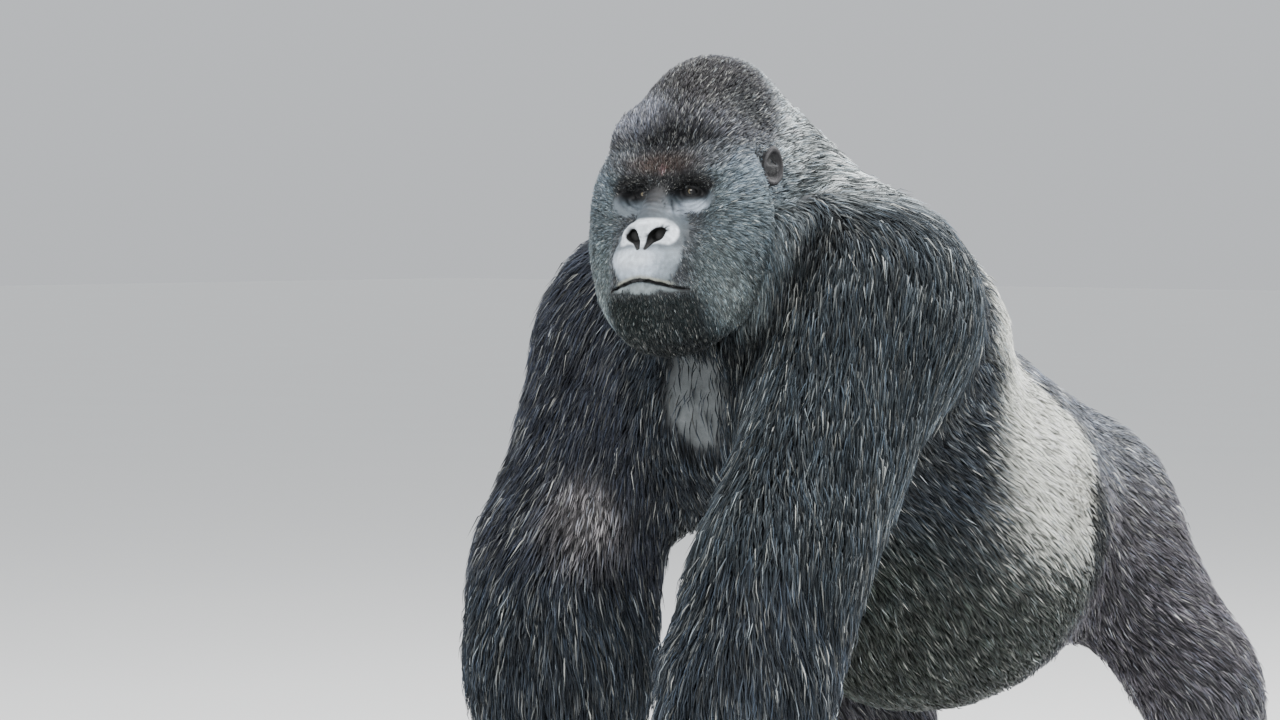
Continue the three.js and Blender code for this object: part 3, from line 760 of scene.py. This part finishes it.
# The nose pad painted pale: a painted wet sheen over the nose.
nose_pad = ramp(nose_of(local), 5.0, 1.6) * ramp(hz, -115, -109)
nose_pad = nose_pad * ramp(hz + 0.011 * hx**2, -58, -65) * ramp(hy, -134, -146)
face = painted((0.085, 0.105, 0.122), [
    # Painted light and shade: the muzzle lit on its right side and shaded on its left.
    ((0.17, 0.205, 0.235), egg(facing, (-58, -92), (20, 40), 0.5)),  # right side of the muzzle
    ((0.055, 0.068, 0.078), egg(facing, (56, -92), (16, 40), 0.5)),  # left side
    ((0.44, 0.51, 0.59), egg(facing, (-8, -127), (50, 21), 0.45)),  # upper lip
    # painted highlight on the right of the upper lip
    ((0.66, 0.72, 0.78), 0.8 * egg(facing, (-16, -119), (34, 13), 0.5)),
    # painted shade on the left of the upper lip
    ((0.22, 0.26, 0.29), 0.85 * ramp(hx, 12, 42) * ramp(hz, -100, -114)),
    ((0.13, 0.155, 0.165), ramp(hz, -139 - 0.12 * wide, -149 - 0.12 * wide)),
    ((0.24, 0.28, 0.29), egg(facing, (-14, -163), (44, 9), 0.5)),  # lower lip
    ((0.075, 0.095, 0.098), ramp(hz, -166, -176)),
    # painted wet sheen on the nose pad
    ((0.66, 0.71, 0.76), nose_pad),
    # Pale skin under each eye, fading out over the right side as painted shade.
    ((0.40, 0.46, 0.53), ramp(hx, -60, 40) * egg(half_facing, (48, -52), (24, 10), 0.5)),
    ((0.055, 0.066, 0.078), 0.9 * egg(facing, (3, -47), (20, 15), 0.5)),  # bridge of the nose
    # dark skin round the eyes, with painted shadow from the brow
    ((0.006, 0.006, 0.007), eye_skin_and_shadow),
    ((0.020, 0.018, 0.018), ramp(hz, -14, 0)),
    # painted shade inside the nostrils
    ((0.004, 0.004, 0.004), ramp(from_nostril, 1.9, 0.3)),
    ((0.045, 0.056, 0.058), ramp(wide, 38, 54) * ramp(np.abs(over_mouth), 18, 10)),
    ((0.36, 0.35, 0.27), 0.6 * lip_edge),
    # painted shade where the lips close
    ((0.004, 0.004, 0.005), cleft),
])
face *= np.clip(1 + 0.5 * wrinkles(local) + 0.09 * unevenness(3), 0.5, 1.2)[:, None]
hide_colour = painted((0.033, 0.034, 0.038), [
    ((0.022, 0.021, 0.023), bare_ears),
    # painted shade deep in the bowl of each ear
    ((0.004, 0.004, 0.005), ramp(from_bowl, 4.2, 2.2)),
    ((0.15, 0.165, 0.17), chest_patch),
    (face, of("head") * (hy < -45)),
])
smooth_places = 0.65 * nose_pad + ramp(from_nostril, 2.5, 1) + cleft + 0.5 * eye_skin_and_shadow
creased = 1 - of("head") * np.clip(smooth_places, 0, 1)


# ---- Lie of the coat ----
def meeting(name, *others):
    """Middle of the cut between a CAD node and its neighbours."""
    other_points = [v.co for other in others for v in nodes[other].data.vertices]
    tree = KDTree(len(other_points))
    for i, co in enumerate(other_points):
        tree.insert(co, i)
    tree.balance()
    order = sorted((v.co for v in nodes[name].data.vertices), key=lambda co: tree.find(co)[2])
    shared = order[: len(order) // 12]
    return np.array(sum(shared, Vector()) / len(shared))


def lowest(name):
    """Middle of a CAD node's foot."""
    low = min(v.co.z for v in nodes[name].data.vertices)
    base = [v.co for v in nodes[name].data.vertices if v.co.z < low + 0.002]
    return np.array(sum(base, Vector()) / len(base))


outward = unit(local - [0, -165, -70])
head_comb = outward + np.outer(ramp(hz, -60, 20), [0, 0.6, 0])
head_comb += np.outer(ramp(hz, -50, -150), [0, 0.35, -0.8])
side = np.tanh(x / 0.08)
front = ramp(y, -0.15, -0.35)
comb = of("head")[:, None] * (head_comb @ HEAD_AXES)
comb += of("neck")[:, None] * np.column_stack([0.5 * side, 0.7 + 0 * x, -0.7 + 0 * x])
comb += of("chest")[:, None] * np.column_stack([0.1 * side, 0.8 - 0.9 * front, -0.6 - 0.4 * front])
comb += of("belly")[:, None] * np.array([0, 0.75, -0.65])
comb += of("rump")[:, None] * np.array([0, 0.6, -0.8])
comb += of("hand")[:, None] * np.array([0, -0.3, -1])
comb += of("foot")[:, None] * np.array([0, -1, -0.4])
comb += of("ear")[:, None] * np.array([0, 0.7, 0.5])
for s in SIDES:
    shoulder = meeting(f"upper_arm_{s}", "chest", "neck")
    elbow = meeting(f"upper_arm_{s}", f"forearm_{s}")
    hip = meeting(f"thigh_{s}", "rump")
    knee = meeting(f"thigh_{s}", f"shank_{s}")
    for part, start, end, drift in (
        ("upper_arm", shoulder, elbow, [0.15 * SIDES[s], 0.15, -0.5]),
        ("forearm", elbow, lowest(f"forearm_{s}"), [0.1 * SIDES[s], 0.25, 0]),
        ("thigh", hip, knee, [0, 0.35, -0.3]),
        ("shank", knee, lowest(f"shank_{s}"), [0, 0.3, 0]),
    ):
        one = share[:, GROUPS.index(f"{part}_{s}")]
        comb += one[:, None] * (unit(end - start) + drift)
facing_up = ramp(normals[:, 2], 0.45, 0.9) * (of("neck") + of("upper_arm") + of("chest"))
comb += facing_up[:, None] * np.array([0, 1.1, 0])
for _ in range(8):
    comb = comb - (comb * normals).sum(axis=1)[:, None] * normals
    comb = unit(comb)
    comb = 0.4 * comb + 0.6 * web.mean(comb)
comb = unit(comb - (comb * normals).sum(axis=1)[:, None] * normals)

# Length, width, spacing and height over the skin of the tufts on each part.
TUFTS = dict(
    head=(0.016, 0.0013, 0.0018, 0.008),
    neck=(0.034, 0.0022, 0.0039, 0.018),
    chest=(0.038, 0.0024, 0.0050, 0.014),
    belly=(0.030, 0.0023, 0.0047, 0.011),
    rump=(0.028, 0.0023, 0.0047, 0.014),
    upper_arm=(0.058, 0.0023, 0.0041, 0.022),
    forearm=(0.064, 0.0025, 0.0045, 0.024),
    thigh=(0.030, 0.0023, 0.0046, 0.015),
    shank=(0.036, 0.0024, 0.0048, 0.015),
    hand=(0.012, 0.0014, 0.0038, 0.003),
    foot=(0.010, 0.0014, 0.0042, 0.003),
    ear=(0.008, 0.0010, 0.0030, 0.002),
)
lengths, widths, gaps, heights = (dict(zip(TUFTS, column)) for column in zip(*TUFTS.values()))
hair_length = by_group(share, 0, **lengths)
hair_width = by_group(share, 0, **widths)
hair_height = by_group(share, 0, **heights)
hair_number = by_group(share, 0, **{part: gap**-2 for part, gap in gaps.items()})  # per square metre
face_thin = of("head") * ramp(np.hypot(hx / 75, (hz + 90) / 100), 1.7, 1.0) * (hy < -40)
hair_length *= (1 - 0.5 * face_thin) * (1 - 0.45 * hip_hollow) * (1 - 0.5 * elbow_patch)
hair_height *= (1 - 0.7 * face_thin) * (1 - 0.6 * hip_hollow)
hair_width *= 1 - 0.25 * face_thin
hair_length *= 1 - 0.45 * eye_skin_and_shadow * (hy < -60)
by_ear = ramp(from_ear, 26, 4)
hair_length *= 1 - 0.6 * by_ear
hair_height *= 1 - 0.6 * by_ear
parted = egg(points, (0.044, -0.40, 0.775), (0.066, 0.07, 0.085), 0.2) * (of("chest") + of("neck"))
hair_number *= (
    (1 + 0.35 * face_thin)
    * (1 - 0.9 * np.maximum(chest_patch, parted))
    * (1 - 0.45 * elbow_patch)
    * (1 - np.clip(bare - chest_patch, 0, 1))
)


# ---- Unwrap of the skin, which places the coat's patches too ----
def unwrap(obj):
    obj.data.uv_layers.new(name="OFBake")
    bpy.context.view_layer.objects.active = obj
    obj.select_set(True)
    bpy.ops.object.mode_set(mode="EDIT")
    bpy.ops.mesh.select_all(action="SELECT")
    bpy.ops.uv.smart_project(angle_limit=math.radians(66), island_margin=0.002)
    bpy.ops.object.mode_set(mode="OBJECT")
    obj.select_set(False)


unwrap(skin)
# The skin under the coat takes the hair's colour, darkened to under half as painted shade between the tufts.
shaded_undercoat = 0.45 * mixed(hair_colour, SILVER_HAIR, silver)
store(skin.data, "tint", mixed(shaded_undercoat, hide_colour, bare))
store(skin.data, "bare", bare)
store(skin.data, "creased", creased)


# ---- Coat: tufts that are thin closed spindles, lying along the body ----
skin.data.calc_loop_triangles()
tri_points = read(skin.data.loop_triangles, "vertices", 3, np.int32)
tri_loops = read(skin.data.loop_triangles, "loops", 3, np.int32)
skin_uv = read(skin.data.uv_layers["OFBake"].uv, "vector", 2)
first, second, third = points[tri_points].transpose(1, 0, 2)
tri_area = np.linalg.norm(np.cross(second - first, third - first), axis=1) / 2
tree = BVHTree.FromPolygons([Vector(p) for p in points], tri_points.tolist(), all_triangles=True)


def at(values, faces, weights):
    """Point values read inside triangles."""
    picked = values[tri_points[faces]]
    return np.einsum("ij,ij...->i...", weights, picked)


def on_skin(places):
    """The nearest point of the skin to each place, its normal and its triangle."""
    found = [tree.find_nearest(Vector(p)) for p in places]
    spots = np.array([f[0] for f in found])
    faces = np.array([f[2] for f in found])
    return spots, unit(normals[tri_points[faces]].mean(axis=1)), faces


def sown(amount):
    """Roots of tufts over the skin, evenly spread: triangles and weights in them."""
    running = np.cumsum(tri_area * amount[tri_points].mean(axis=1))
    number = int(running[-1])
    faces = np.searchsorted(running, (np.arange(number) + draw.random(number)) * running[-1] / number)
    faces = np.minimum(faces, len(tri_area) - 1)
    a, b = np.sqrt(draw.random(number)), draw.random(number)
    return faces, np.column_stack([1 - a, a * (1 - b), a * b])


# By a tuft's number of rings: its height over the skin along it, the share of its length in
# each stretch, and the width of each ring.
RISES = {1: [0.75, 1.0], 2: [0.5, 0.9, 1.0]}
STEPS = {1: [0.4, 0.6], 2: [0.28, 0.37, 0.35]}
TAPER = {1: [1.0], 2: [0.9, 0.8]}
RING = [(-0.5, -0.15), (0.5, -0.15), (0.0, 0.5)]  # across and out, in widths
LOCK_SIZE = 8  # tufts
LOCK_PULL = 0.55
# Some tufts are pale: partly the coat's own spread of tone, partly painted glints of light on glossy hair.
PALE_GLINT_SHARE = 0.15  # of the tufts are pale
PATCH = 0.003  # of the map for each tuft
PIECE_LIMIT = 190000  # triangles


def grown(faces, weights, bends, light):
    """Tufts on those roots. Each has a root, one or two rings and a tip: the line through
    them, the way they face and the width of each tuft."""
    count = len(faces)
    spot = at(points, faces, weights)
    out = unit(at(normals, faces, weights))
    lie = unit(at(comb, faces, weights))
    length = at(hair_length, faces, weights) * draw.uniform(0.65, 1.25, count)
    height = at(hair_height, faces, weights) * draw.uniform(0.3, 1.0, count)
    width = at(hair_width, faces, weights) * draw.uniform(0.75, 1.25, count)
    stray = draw.random(count) < 0.05
    height = np.where(stray, height * 1.3, height) * np.where(light, 1.15, 1)
    width = np.where(light, 0.65 * width, width)
    swing = draw.normal(0, 0.20, count)
    line, outs = [spot - 0.001 * out], [out]
    here = spot
    for step, rise in zip(STEPS[bends], RISES[bends]):
        lie = unit(lie + swing[:, None] * np.cross(out, lie))
        here, out, hit = on_skin(here + lie * (length * step)[:, None])
        line.append(here + out * (height * rise)[:, None])
        outs.append(out)
        turned_lie = comb[tri_points[hit]].mean(axis=1)
        lie = unit(0.5 * lie + 0.5 * turned_lie)
        lie = unit(lie - (lie * out).sum(axis=1)[:, None] * out)
        swing = draw.normal(0, 0.12, count)
    return np.stack(line, axis=1), np.stack(outs, axis=1), width


def locked(line):
    """Draws the tips of neighbouring tufts together into locks. Returns their lines, and the
    tuft that leads each one's lock."""
    count, roots = len(line), line[:, 0].copy()
    chosen = draw.permutation(count)[: max(1, count // LOCK_SIZE)]
    near = KDTree(len(chosen))
    for i, k in enumerate(chosen):
        near.insert(Vector(roots[k]), i)
    near.balance()
    leader = chosen[[near.find(Vector(r))[1] for r in roots]]
    last = line.shape[1] - 1
    grip = LOCK_PULL * draw.uniform(0.3, 1.0, count)
    for i in range(1, last + 1):
        wish = line[leader, i] + 0.3 * (roots - roots[leader])
        line[:, i] += (grip * (i / last) ** 1.5)[:, None] * (wish - line[:, i])
    return line, leader


def spindle(bends):
    """The triangles of one tuft: root, rings of three points, tip."""
    pattern = [(0, 1 + (k + 1) % 3, 1 + k) for k in range(3)]
    for r in range(bends - 1):
        for k in range(3):
            a, b = 1 + r * 3 + k, 1 + r * 3 + (k + 1) % 3
            pattern += [(a, b, b + 3), (a, b + 3, a + 3)]
    top = 1 + (bends - 1) * 3
    pattern += [(top + k, top + (k + 1) % 3, top + 3) for k in range(3)]
    return np.array(pattern)


def along_tuft(bends, root, low, high, tip):
    """A number for each point of a tuft, in even steps from its first ring to its last."""
    return np.concatenate([[root], np.repeat(np.linspace(low, high, bends), 3), [tip]])


def tuft_points(line, outs, width, bends):
    """The points of each tuft, from its root to its tip."""
    sides = unit(np.cross(unit(np.gradient(line, axis=1)), outs))
    rings = []
    for r in range(bends):
        w = (width * TAPER[bends][r])[:, None]
        rings += [line[:, r + 1] + sides[:, r + 1] * a * w + outs[:, r + 1] * o * w for a, o in RING]
    return np.stack([line[:, 0], *rings, line[:, -1]], axis=1)


def tuft_colours(faces, weights, light, leader):
    """Each tuft a little different. Silver comes and goes tuft by tuft, and so do the dark
    hairs among pale ones."""
    count = len(faces)
    tint = at(hair_colour, faces, weights)
    silvered = ramp(at(silver, faces, weights) + draw.normal(0, 0.15, count), 0.0, 0.95)
    tint = mixed(tint, SILVER_HAIR, silvered)
    # painted glints: pale tufts made brighter
    pale = light & (tint.mean(axis=1) > 0.012)
    shade = draw.lognormal(0, 0.36, count) * draw.lognormal(0, 0.26, count)[leader]
    shade = np.minimum(shade * np.where(pale, 1.7, 1), 2.8)
    shade = shade * (1 - silvered) + silvered * draw.normal(0.95, 0.13, count)
    dark = draw.random(count) < 0.42 * at(speckled, faces, weights)
    shade = np.where(dark, 0.22 * shade, shade)
    # Pale tufts tinted blue, as painted glints of sky light on black hair.
    sky_glint = light & (silvered < 0.5)
    tint = tint * np.where(sky_glint[:, None], (0.92, 1.0, 1.10), 1.0)
    return np.clip(tint * shade[:, None], 0.004, 0.9)


def tuft_patches(faces, weights, bends):
    """The map's places for the points of each tuft, round its root's place on the skin's."""
    root_uv = np.einsum("ij,ijk->ik", weights, skin_uv[tri_loops[faces]])
    across = np.concatenate([[0.5], np.tile([0, 1, 0.5], bends), [0.5]])
    up = along_tuft(bends, 0.0, 0.4, 0.65, 1.0)
    return root_uv[:, None, :] + PATCH * (np.column_stack([across, up]) - 0.5)[None]


def coat_piece(name, faces, weights, bends):
    """The tufts on some roots as one mesh, dark at the root as painted shade of the coat on itself, and pale
    at the tip.
    """
    count, each = len(faces), 3 * bends + 2
    light = draw.random(count) < PALE_GLINT_SHARE
    line, outs, width = grown(faces, weights, bends, light)
    line, leader = locked(line)
    triangles = (spindle(bends)[None] + each * np.arange(count)[:, None, None]).reshape(-1, 3)
    mesh = bpy.data.meshes.new(name)
    mesh.vertices.add(count * each)
    verts = tuft_points(line, outs, width, bends)
    mesh.vertices.foreach_set("co", verts.astype(np.float32).ravel())
    mesh.loops.add(len(triangles) * 3)
    mesh.loops.foreach_set("vertex_index", triangles.astype(np.int32).ravel())
    mesh.polygons.add(len(triangles))
    mesh.polygons.foreach_set("loop_start", np.arange(0, len(triangles) * 3, 3, dtype=np.int32))
    # Painted shade: each tuft darker at its root, where the coat shades itself, and paler towards its tip.
    root_shade_to_tip = along_tuft(bends, 0.45, 0.8, 1.05, 1.3)
    colour = tuft_colours(faces, weights, light, leader)[:, None, :] * root_shade_to_tip[None, :, None]
    store(mesh, "tint", colour.reshape(-1, 3))
    patch = tuft_patches(faces, weights, bends).reshape(-1, 2)
    layer = mesh.uv_layers.new(name="OFBake")
    layer.uv.foreach_set("vector", patch[triangles.ravel()].astype(np.float32).ravel())
    mesh.update()
    mesh.validate()
    mesh.shade_smooth()
    piece = added(mesh, name)
    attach(piece, "root")
    return piece


faces, weights = sown(hair_number)
main_group = share[tri_points[faces]].mean(axis=1).argmax(axis=1)
COAT_PARTS = [
    ("head", ["head", "ear"], 1, "black_coat"),
    ("neck", ["neck"], 1, "black_coat"),
    ("chest", ["chest"], 1, "black_coat"),
    ("belly", ["belly"], 1, "silver_coat"),
    ("rump", ["rump"], 1, "grey_coat"),
    ("hands_and_feet", ["hand", "foot"], 1, "black_coat"),
]
for s in SIDES:
    COAT_PARTS += [
        (f"upper_arm_{s}", [f"upper_arm_{s}"], 1, "black_coat"),
        (f"forearm_{s}", [f"forearm_{s}"], 2, "black_coat"),
        (f"thigh_{s}", [f"thigh_{s}"], 1, "grey_coat"),
        (f"shank_{s}", [f"shank_{s}"], 1, "black_coat"),
    ]
coat = []
for name, parts, bends, slot in COAT_PARTS:
    mine = np.flatnonzero(np.isin(main_group, [GROUPS.index(part) for part in parts]))
    cuts = -(-len(mine) * 6 * bends // PIECE_LIMIT)  # a tuft has 6 triangles for each ring
    mine = mine[np.argsort(at(points, faces[mine], weights[mine])[:, 0], kind="stable")]
    for number, some in enumerate(np.array_split(mine, cuts), 1):
        piece_name = f"coat_{name}_{number}" if cuts > 1 else f"coat_{name}"
        coat.append(coat_piece(piece_name, faces[some], weights[some], bends))


# ---- Eyes ----
GAZE = unit(np.array([math.sin(math.radians(14)), -math.cos(math.radians(14)), -0.04]))
IRIS, PUPIL = 26, 9.5  # half angles from the eyeball's middle, in degrees
EYE_RINGS = [3, 6, 9, 10.5, 13, 16, 19, 22, 24.5, 26.5, 29, 34, 40, 50, 62, 75, 90, 105, 120, 140,
             160, 172]
AROUND = 56  # points in each ring


def eyeball(side):
    """A round eye with a clear bulge over its brown iris, looking along the gaze."""
    centre, radius = centre_of(f"eye_{side}"), 0.001 * EYE["radius"]
    ahead = GAZE @ HEAD_AXES
    right = unit(np.cross(ahead, [0, 0, 1]))
    up = np.cross(right, ahead)
    ball, colours = bmesh.new(), []

    def point(angle, turn, colour):
        bulge = 0.07 * (1 - min(1, angle / 33) ** 2) ** 2
        a, t = math.radians(angle), math.radians(turn)
        way = math.cos(a) * ahead + math.sin(a) * (math.cos(t) * right + math.sin(t) * up)
        colours.append(colour)
        return ball.verts.new(centre + radius * (1 + bulge) * way)

    def colour_at(angle):
        if angle <= PUPIL:
            return (0.002, 0.002, 0.002)
        if angle <= IRIS:
            streak = 0.75 + 0.5 * draw.random()
            ring = 1 - 0.65 * ((angle - PUPIL) / (IRIS - PUPIL)) ** 3
            return tuple(c * streak * ring for c in (0.15, 0.125, 0.080))
        edge = min(1, (angle - IRIS) / 18)
        return tuple(0.006 + edge * c for c in (0.045, 0.030, 0.026))

    nose = point(0, 0, colour_at(0))
    turns = [360 * t / AROUND for t in range(AROUND)]
    rings = [[point(a, turn, colour_at(a)) for turn in turns] for a in EYE_RINGS]
    tail = point(180, 0, colour_at(180))
    for k in range(AROUND):
        n = (k + 1) % AROUND
        ball.faces.new((nose, rings[0][k], rings[0][n]))
        ball.faces.new((tail, rings[-1][n], rings[-1][k]))
        for inner, outer in zip(rings, rings[1:]):
            ball.faces.new((inner[k], outer[k], outer[n], inner[n]))
    bmesh.ops.recalc_face_normals(ball, faces=ball.faces)
    mesh = bpy.data.meshes.new(f"eyeball_{side}")
    ball.to_mesh(mesh)
    ball.free()
    mesh.shade_smooth()
    store(mesh, "tint", np.array(colours))
    piece = added(mesh)
    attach(piece, "root")
    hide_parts(f"eye_{side}")
    return piece


eyeballs = [eyeball(side) for side in SIDES]


# ---- Finishes ----
class Finish:
    """A material whose colour, roughness and bump come from nodes."""

    def __init__(self, name, **sockets):
        self.material = bpy.data.materials.new(name)
        self.material.use_nodes = True
        self.tree = self.material.node_tree
        self.shader = self.tree.nodes["Principled BSDF"]
        for socket, value in sockets.items():
            self.shader.inputs[socket.replace("_", " ")].default_value = value
        self.place = self.tree.nodes.new("ShaderNodeTexCoord").outputs["Object"]

    def link(self, source, target):
        """Joins two sockets, or sets a number on the second."""
        if isinstance(source, (int, float)):
            target.default_value = source
        else:
            self.tree.links.new(source, target)

    def kept(self, name, kind="Color"):
        """What the mesh keeps for its points under a name."""
        node = self.tree.nodes.new("ShaderNodeAttribute")
        node.attribute_name = name
        return node.outputs[kind]

    def noise(self, scale, detail=3, stretch=(1, 1, 1)):
        """Cloudy noise through the object, from 0 to 1."""
        node = self.tree.nodes.new("ShaderNodeTexNoise")
        node.inputs["Scale"].default_value = scale
        node.inputs["Detail"].default_value = detail
        where = self.tree.nodes.new("ShaderNodeMapping")
        where.inputs["Scale"].default_value = stretch
        self.link(self.place, where.inputs["Vector"])
        self.link(where.outputs["Vector"], node.inputs["Vector"])
        return node.outputs["Fac"]

    def cells(self, scale):
        """0 in the creases between small cells, rising over each."""
        node = self.tree.nodes.new("ShaderNodeTexVoronoi")
        node.feature = "DISTANCE_TO_EDGE"
        node.inputs["Scale"].default_value = scale
        self.link(self.place, node.inputs["Vector"])
        return node.outputs["Distance"]

    def sum(self, operation, a, b):
        node = self.tree.nodes.new("ShaderNodeMath")
        node.operation = operation
        self.link(a, node.inputs[0])
        self.link(b, node.inputs[1])
        return node.outputs[0]

    def spread(self, value, low, high, to_low, to_high):
        """Stretches what lies from low to high over another range, and holds it there."""
        node = self.tree.nodes.new("ShaderNodeMapRange")
        for socket, number in zip(node.inputs[1:5], (low, high, to_low, to_high)):
            socket.default_value = number
        self.link(value, node.inputs["Value"])
        return node.outputs["Result"]

    def dimmed(self, colour, amount):
        node = self.tree.nodes.new("ShaderNodeVectorMath")
        node.operation = "SCALE"
        self.link(colour, node.inputs[0])
        self.link(amount, node.inputs["Scale"])
        return node.outputs["Vector"]

    def bump(self, height, strength, distance):
        node = self.tree.nodes.new("ShaderNodeBump")
        node.inputs["Strength"].default_value = strength
        node.inputs["Distance"].default_value = distance
        self.link(height, node.inputs["Height"])
        self.link(node.outputs["Normal"], self.shader.inputs["Normal"])


def hair_finish():
    f = Finish("coat hair", Specular_IOR_Level=0.17, Sheen_Weight=0.05, Sheen_Roughness=0.35,
               Sheen_Tint=(0.75, 0.82, 0.95, 1))
    clump, strand = f.noise(14, 2), f.noise(420, 2)
    vary = f.sum("MULTIPLY", f.spread(clump, 0.3, 0.7, 0.8, 1.2), f.spread(strand, 0.3, 0.7, 0.85, 1.15))
    f.link(f.dimmed(f.kept("tint"), vary), f.shader.inputs["Base Color"])
    f.link(f.spread(strand, 0.3, 0.7, 0.36, 0.56), f.shader.inputs["Roughness"])
    return f.material


def hide_finish():
    """Leathery where bare, with fine creases; under the coat, a bump like short hair."""
    f = Finish("hide", Specular_IOR_Level=0.4)
    bare_here, creased_here = f.kept("bare", "Fac"), f.kept("creased", "Fac")
    mottle, pores = f.noise(110, 4), f.noise(1100, 2)
    fine = f.sum("MINIMUM", f.cells(560), 0.10)
    line = f.sum("MULTIPLY", f.spread(fine, 0, 0.10, 1.0, 0.0), creased_here)
    vary = f.sum("MULTIPLY", f.spread(mottle, 0.3, 0.7, 0.78, 1.14), f.spread(line, 0, 1, 1.03, 0.82))
    vary = f.sum("MULTIPLY", vary, f.spread(pores, 0.3, 0.7, 0.86, 1.08))
    f.link(f.dimmed(f.kept("tint"), vary), f.shader.inputs["Base Color"])
    rough = f.sum("ADD", f.spread(mottle, 0.3, 0.7, 0.42, 0.56), f.spread(creased_here, 0, 1, 0.12, 0))
    f.link(rough, f.shader.inputs["Roughness"])
    leather = f.sum("SUBTRACT", f.sum("MULTIPLY", pores, 0.35), f.sum("MULTIPLY", line, 0.55))
    fur = f.noise(500, 2, (1, 1, 0.25))
    covered = f.sum("SUBTRACT", 1.0, bare_here)
    leather, fur = f.sum("MULTIPLY", leather, bare_here), f.sum("MULTIPLY", fur, covered)
    f.bump(f.sum("ADD", leather, fur), 0.6, 0.0006)
    return f.material


def eye_finish():
    f = Finish("wet eye", Coat_Weight=0.35, Coat_Roughness=0.03, Specular_IOR_Level=0.4)
    veins = f.noise(700, 3)
    f.link(f.dimmed(f.kept("tint"), f.spread(veins, 0.3, 0.7, 0.7, 1.3)), f.shader.inputs["Base Color"])
    f.link(f.spread(veins, 0.3, 0.7, 0.08, 0.16), f.shader.inputs["Roughness"])
    return f.material


def nail_finish():
    f = Finish("nail", Specular_IOR_Level=0.55)
    ridges, stain = f.noise(900, 2, (1, 0.15, 0.15)), f.noise(120, 3)
    mix = f.tree.nodes.new("ShaderNodeMix")
    mix.data_type = "RGBA"
    colours = [s for s in mix.inputs if s.type == "RGBA"]
    colours[0].default_value = (0.030, 0.027, 0.026, 1)
    colours[1].default_value = (0.105, 0.092, 0.082, 1)
    f.link(f.spread(stain, 0.35, 0.7, 0, 1), mix.inputs["Factor"])
    f.link([s for s in mix.outputs if s.type == "RGBA"][0], f.shader.inputs["Base Color"])
    f.link(f.spread(ridges, 0.3, 0.7, 0.25, 0.42), f.shader.inputs["Roughness"])
    f.bump(ridges, 0.4, 0.0003)
    return f.material


def floor_finish():
    f = Finish("pale floor", Specular_IOR_Level=0.3)
    cloud = f.noise(1.5, 4)
    f.link(f.spread(cloud, 0.3, 0.7, 0.60, 0.72), f.shader.inputs["Roughness"])
    f.shader.inputs["Base Color"].default_value = (0.70, 0.70, 0.69, 1)
    return f.material


def dress(obj, material):
    obj.data.materials.clear()
    obj.data.materials.append(material)


hair, hide, wet, nail = hair_finish(), hide_finish(), eye_finish(), nail_finish()
dress(skin, hide)
for piece in coat:
    dress(piece, hair)
for piece in eyeballs:
    dress(piece, wet)
for name in nodes:
    if "_nail_" in name:
        for place in nodes[name].material_slots:
            place.material = nail


# ---- Studio ----
camera = bpy.data.objects.new("camera", bpy.data.cameras.new("camera"))
scene.collection.objects.link(camera)
TARGET = Vector((-0.095, -0.3627, 0.81))
AZIMUTH, ELEVATION, DISTANCE = math.radians(42), math.radians(2), 6.3
AIM = Vector((0, 0, 0.75))  # of the lights
flat = math.cos(ELEVATION)
back = Vector((math.sin(AZIMUTH) * flat, -math.cos(AZIMUTH) * flat, math.sin(ELEVATION)))
camera.location = TARGET + back * DISTANCE
camera.rotation_mode = "QUATERNION"
camera.rotation_quaternion = (-back).to_track_quat("-Z", "Y")
camera.data.lens = 124.6
camera.data.sensor_width = 36
camera.data.clip_end = 200
scene.camera = camera

floor_mesh = bpy.data.meshes.new("floor")
floor_mesh.from_pydata([(-40, -40, 0), (40, -40, 0), (40, 40, 0), (-40, 40, 0)], [], [(0, 1, 2, 3)])
floor = added(floor_mesh, "floor")
dress(floor, floor_finish())


def softbox(name, place, size, power):
    """A square area light, turned to the middle of the object."""
    light = bpy.data.lights.new(name, "AREA")
    light.size = size
    light.energy = power
    lamp = bpy.data.objects.new(name, light)
    scene.collection.objects.link(lamp)
    lamp.location = place
    lamp.rotation_mode = "QUATERNION"
    lamp.rotation_quaternion = (Vector(place) - AIM).to_track_quat("Z", "Y")


softbox("overhead", (0.3, 0.2, 4.2), 3.6, 250)
softbox("key", (1.2, -4.6, 3.4), 2.2, 185)
softbox("rim", (3.0, 2.8, 3.4), 2.4, 440)


def sky():
    """A pale sky, dimmer near the floor."""
    scene.world = bpy.data.worlds.new("world")
    scene.world.use_nodes = True
    tree = scene.world.node_tree
    backdrop = tree.nodes["Background"]
    backdrop.inputs["Color"].default_value = (0.93, 0.96, 1.0, 1)
    way = tree.nodes.new("ShaderNodeTexCoord").outputs["Generated"]
    parts = tree.nodes.new("ShaderNodeSeparateXYZ")
    rise = tree.nodes.new("ShaderNodeMapRange")
    for socket, number in zip(rise.inputs[1:5], (0.0, 0.9, 0.70, 1.15)):
        socket.default_value = number
    tree.links.new(way, parts.inputs[0])
    tree.links.new(parts.outputs["Z"], rise.inputs["Value"])
    tree.links.new(rise.outputs["Result"], backdrop.inputs["Strength"])


sky()
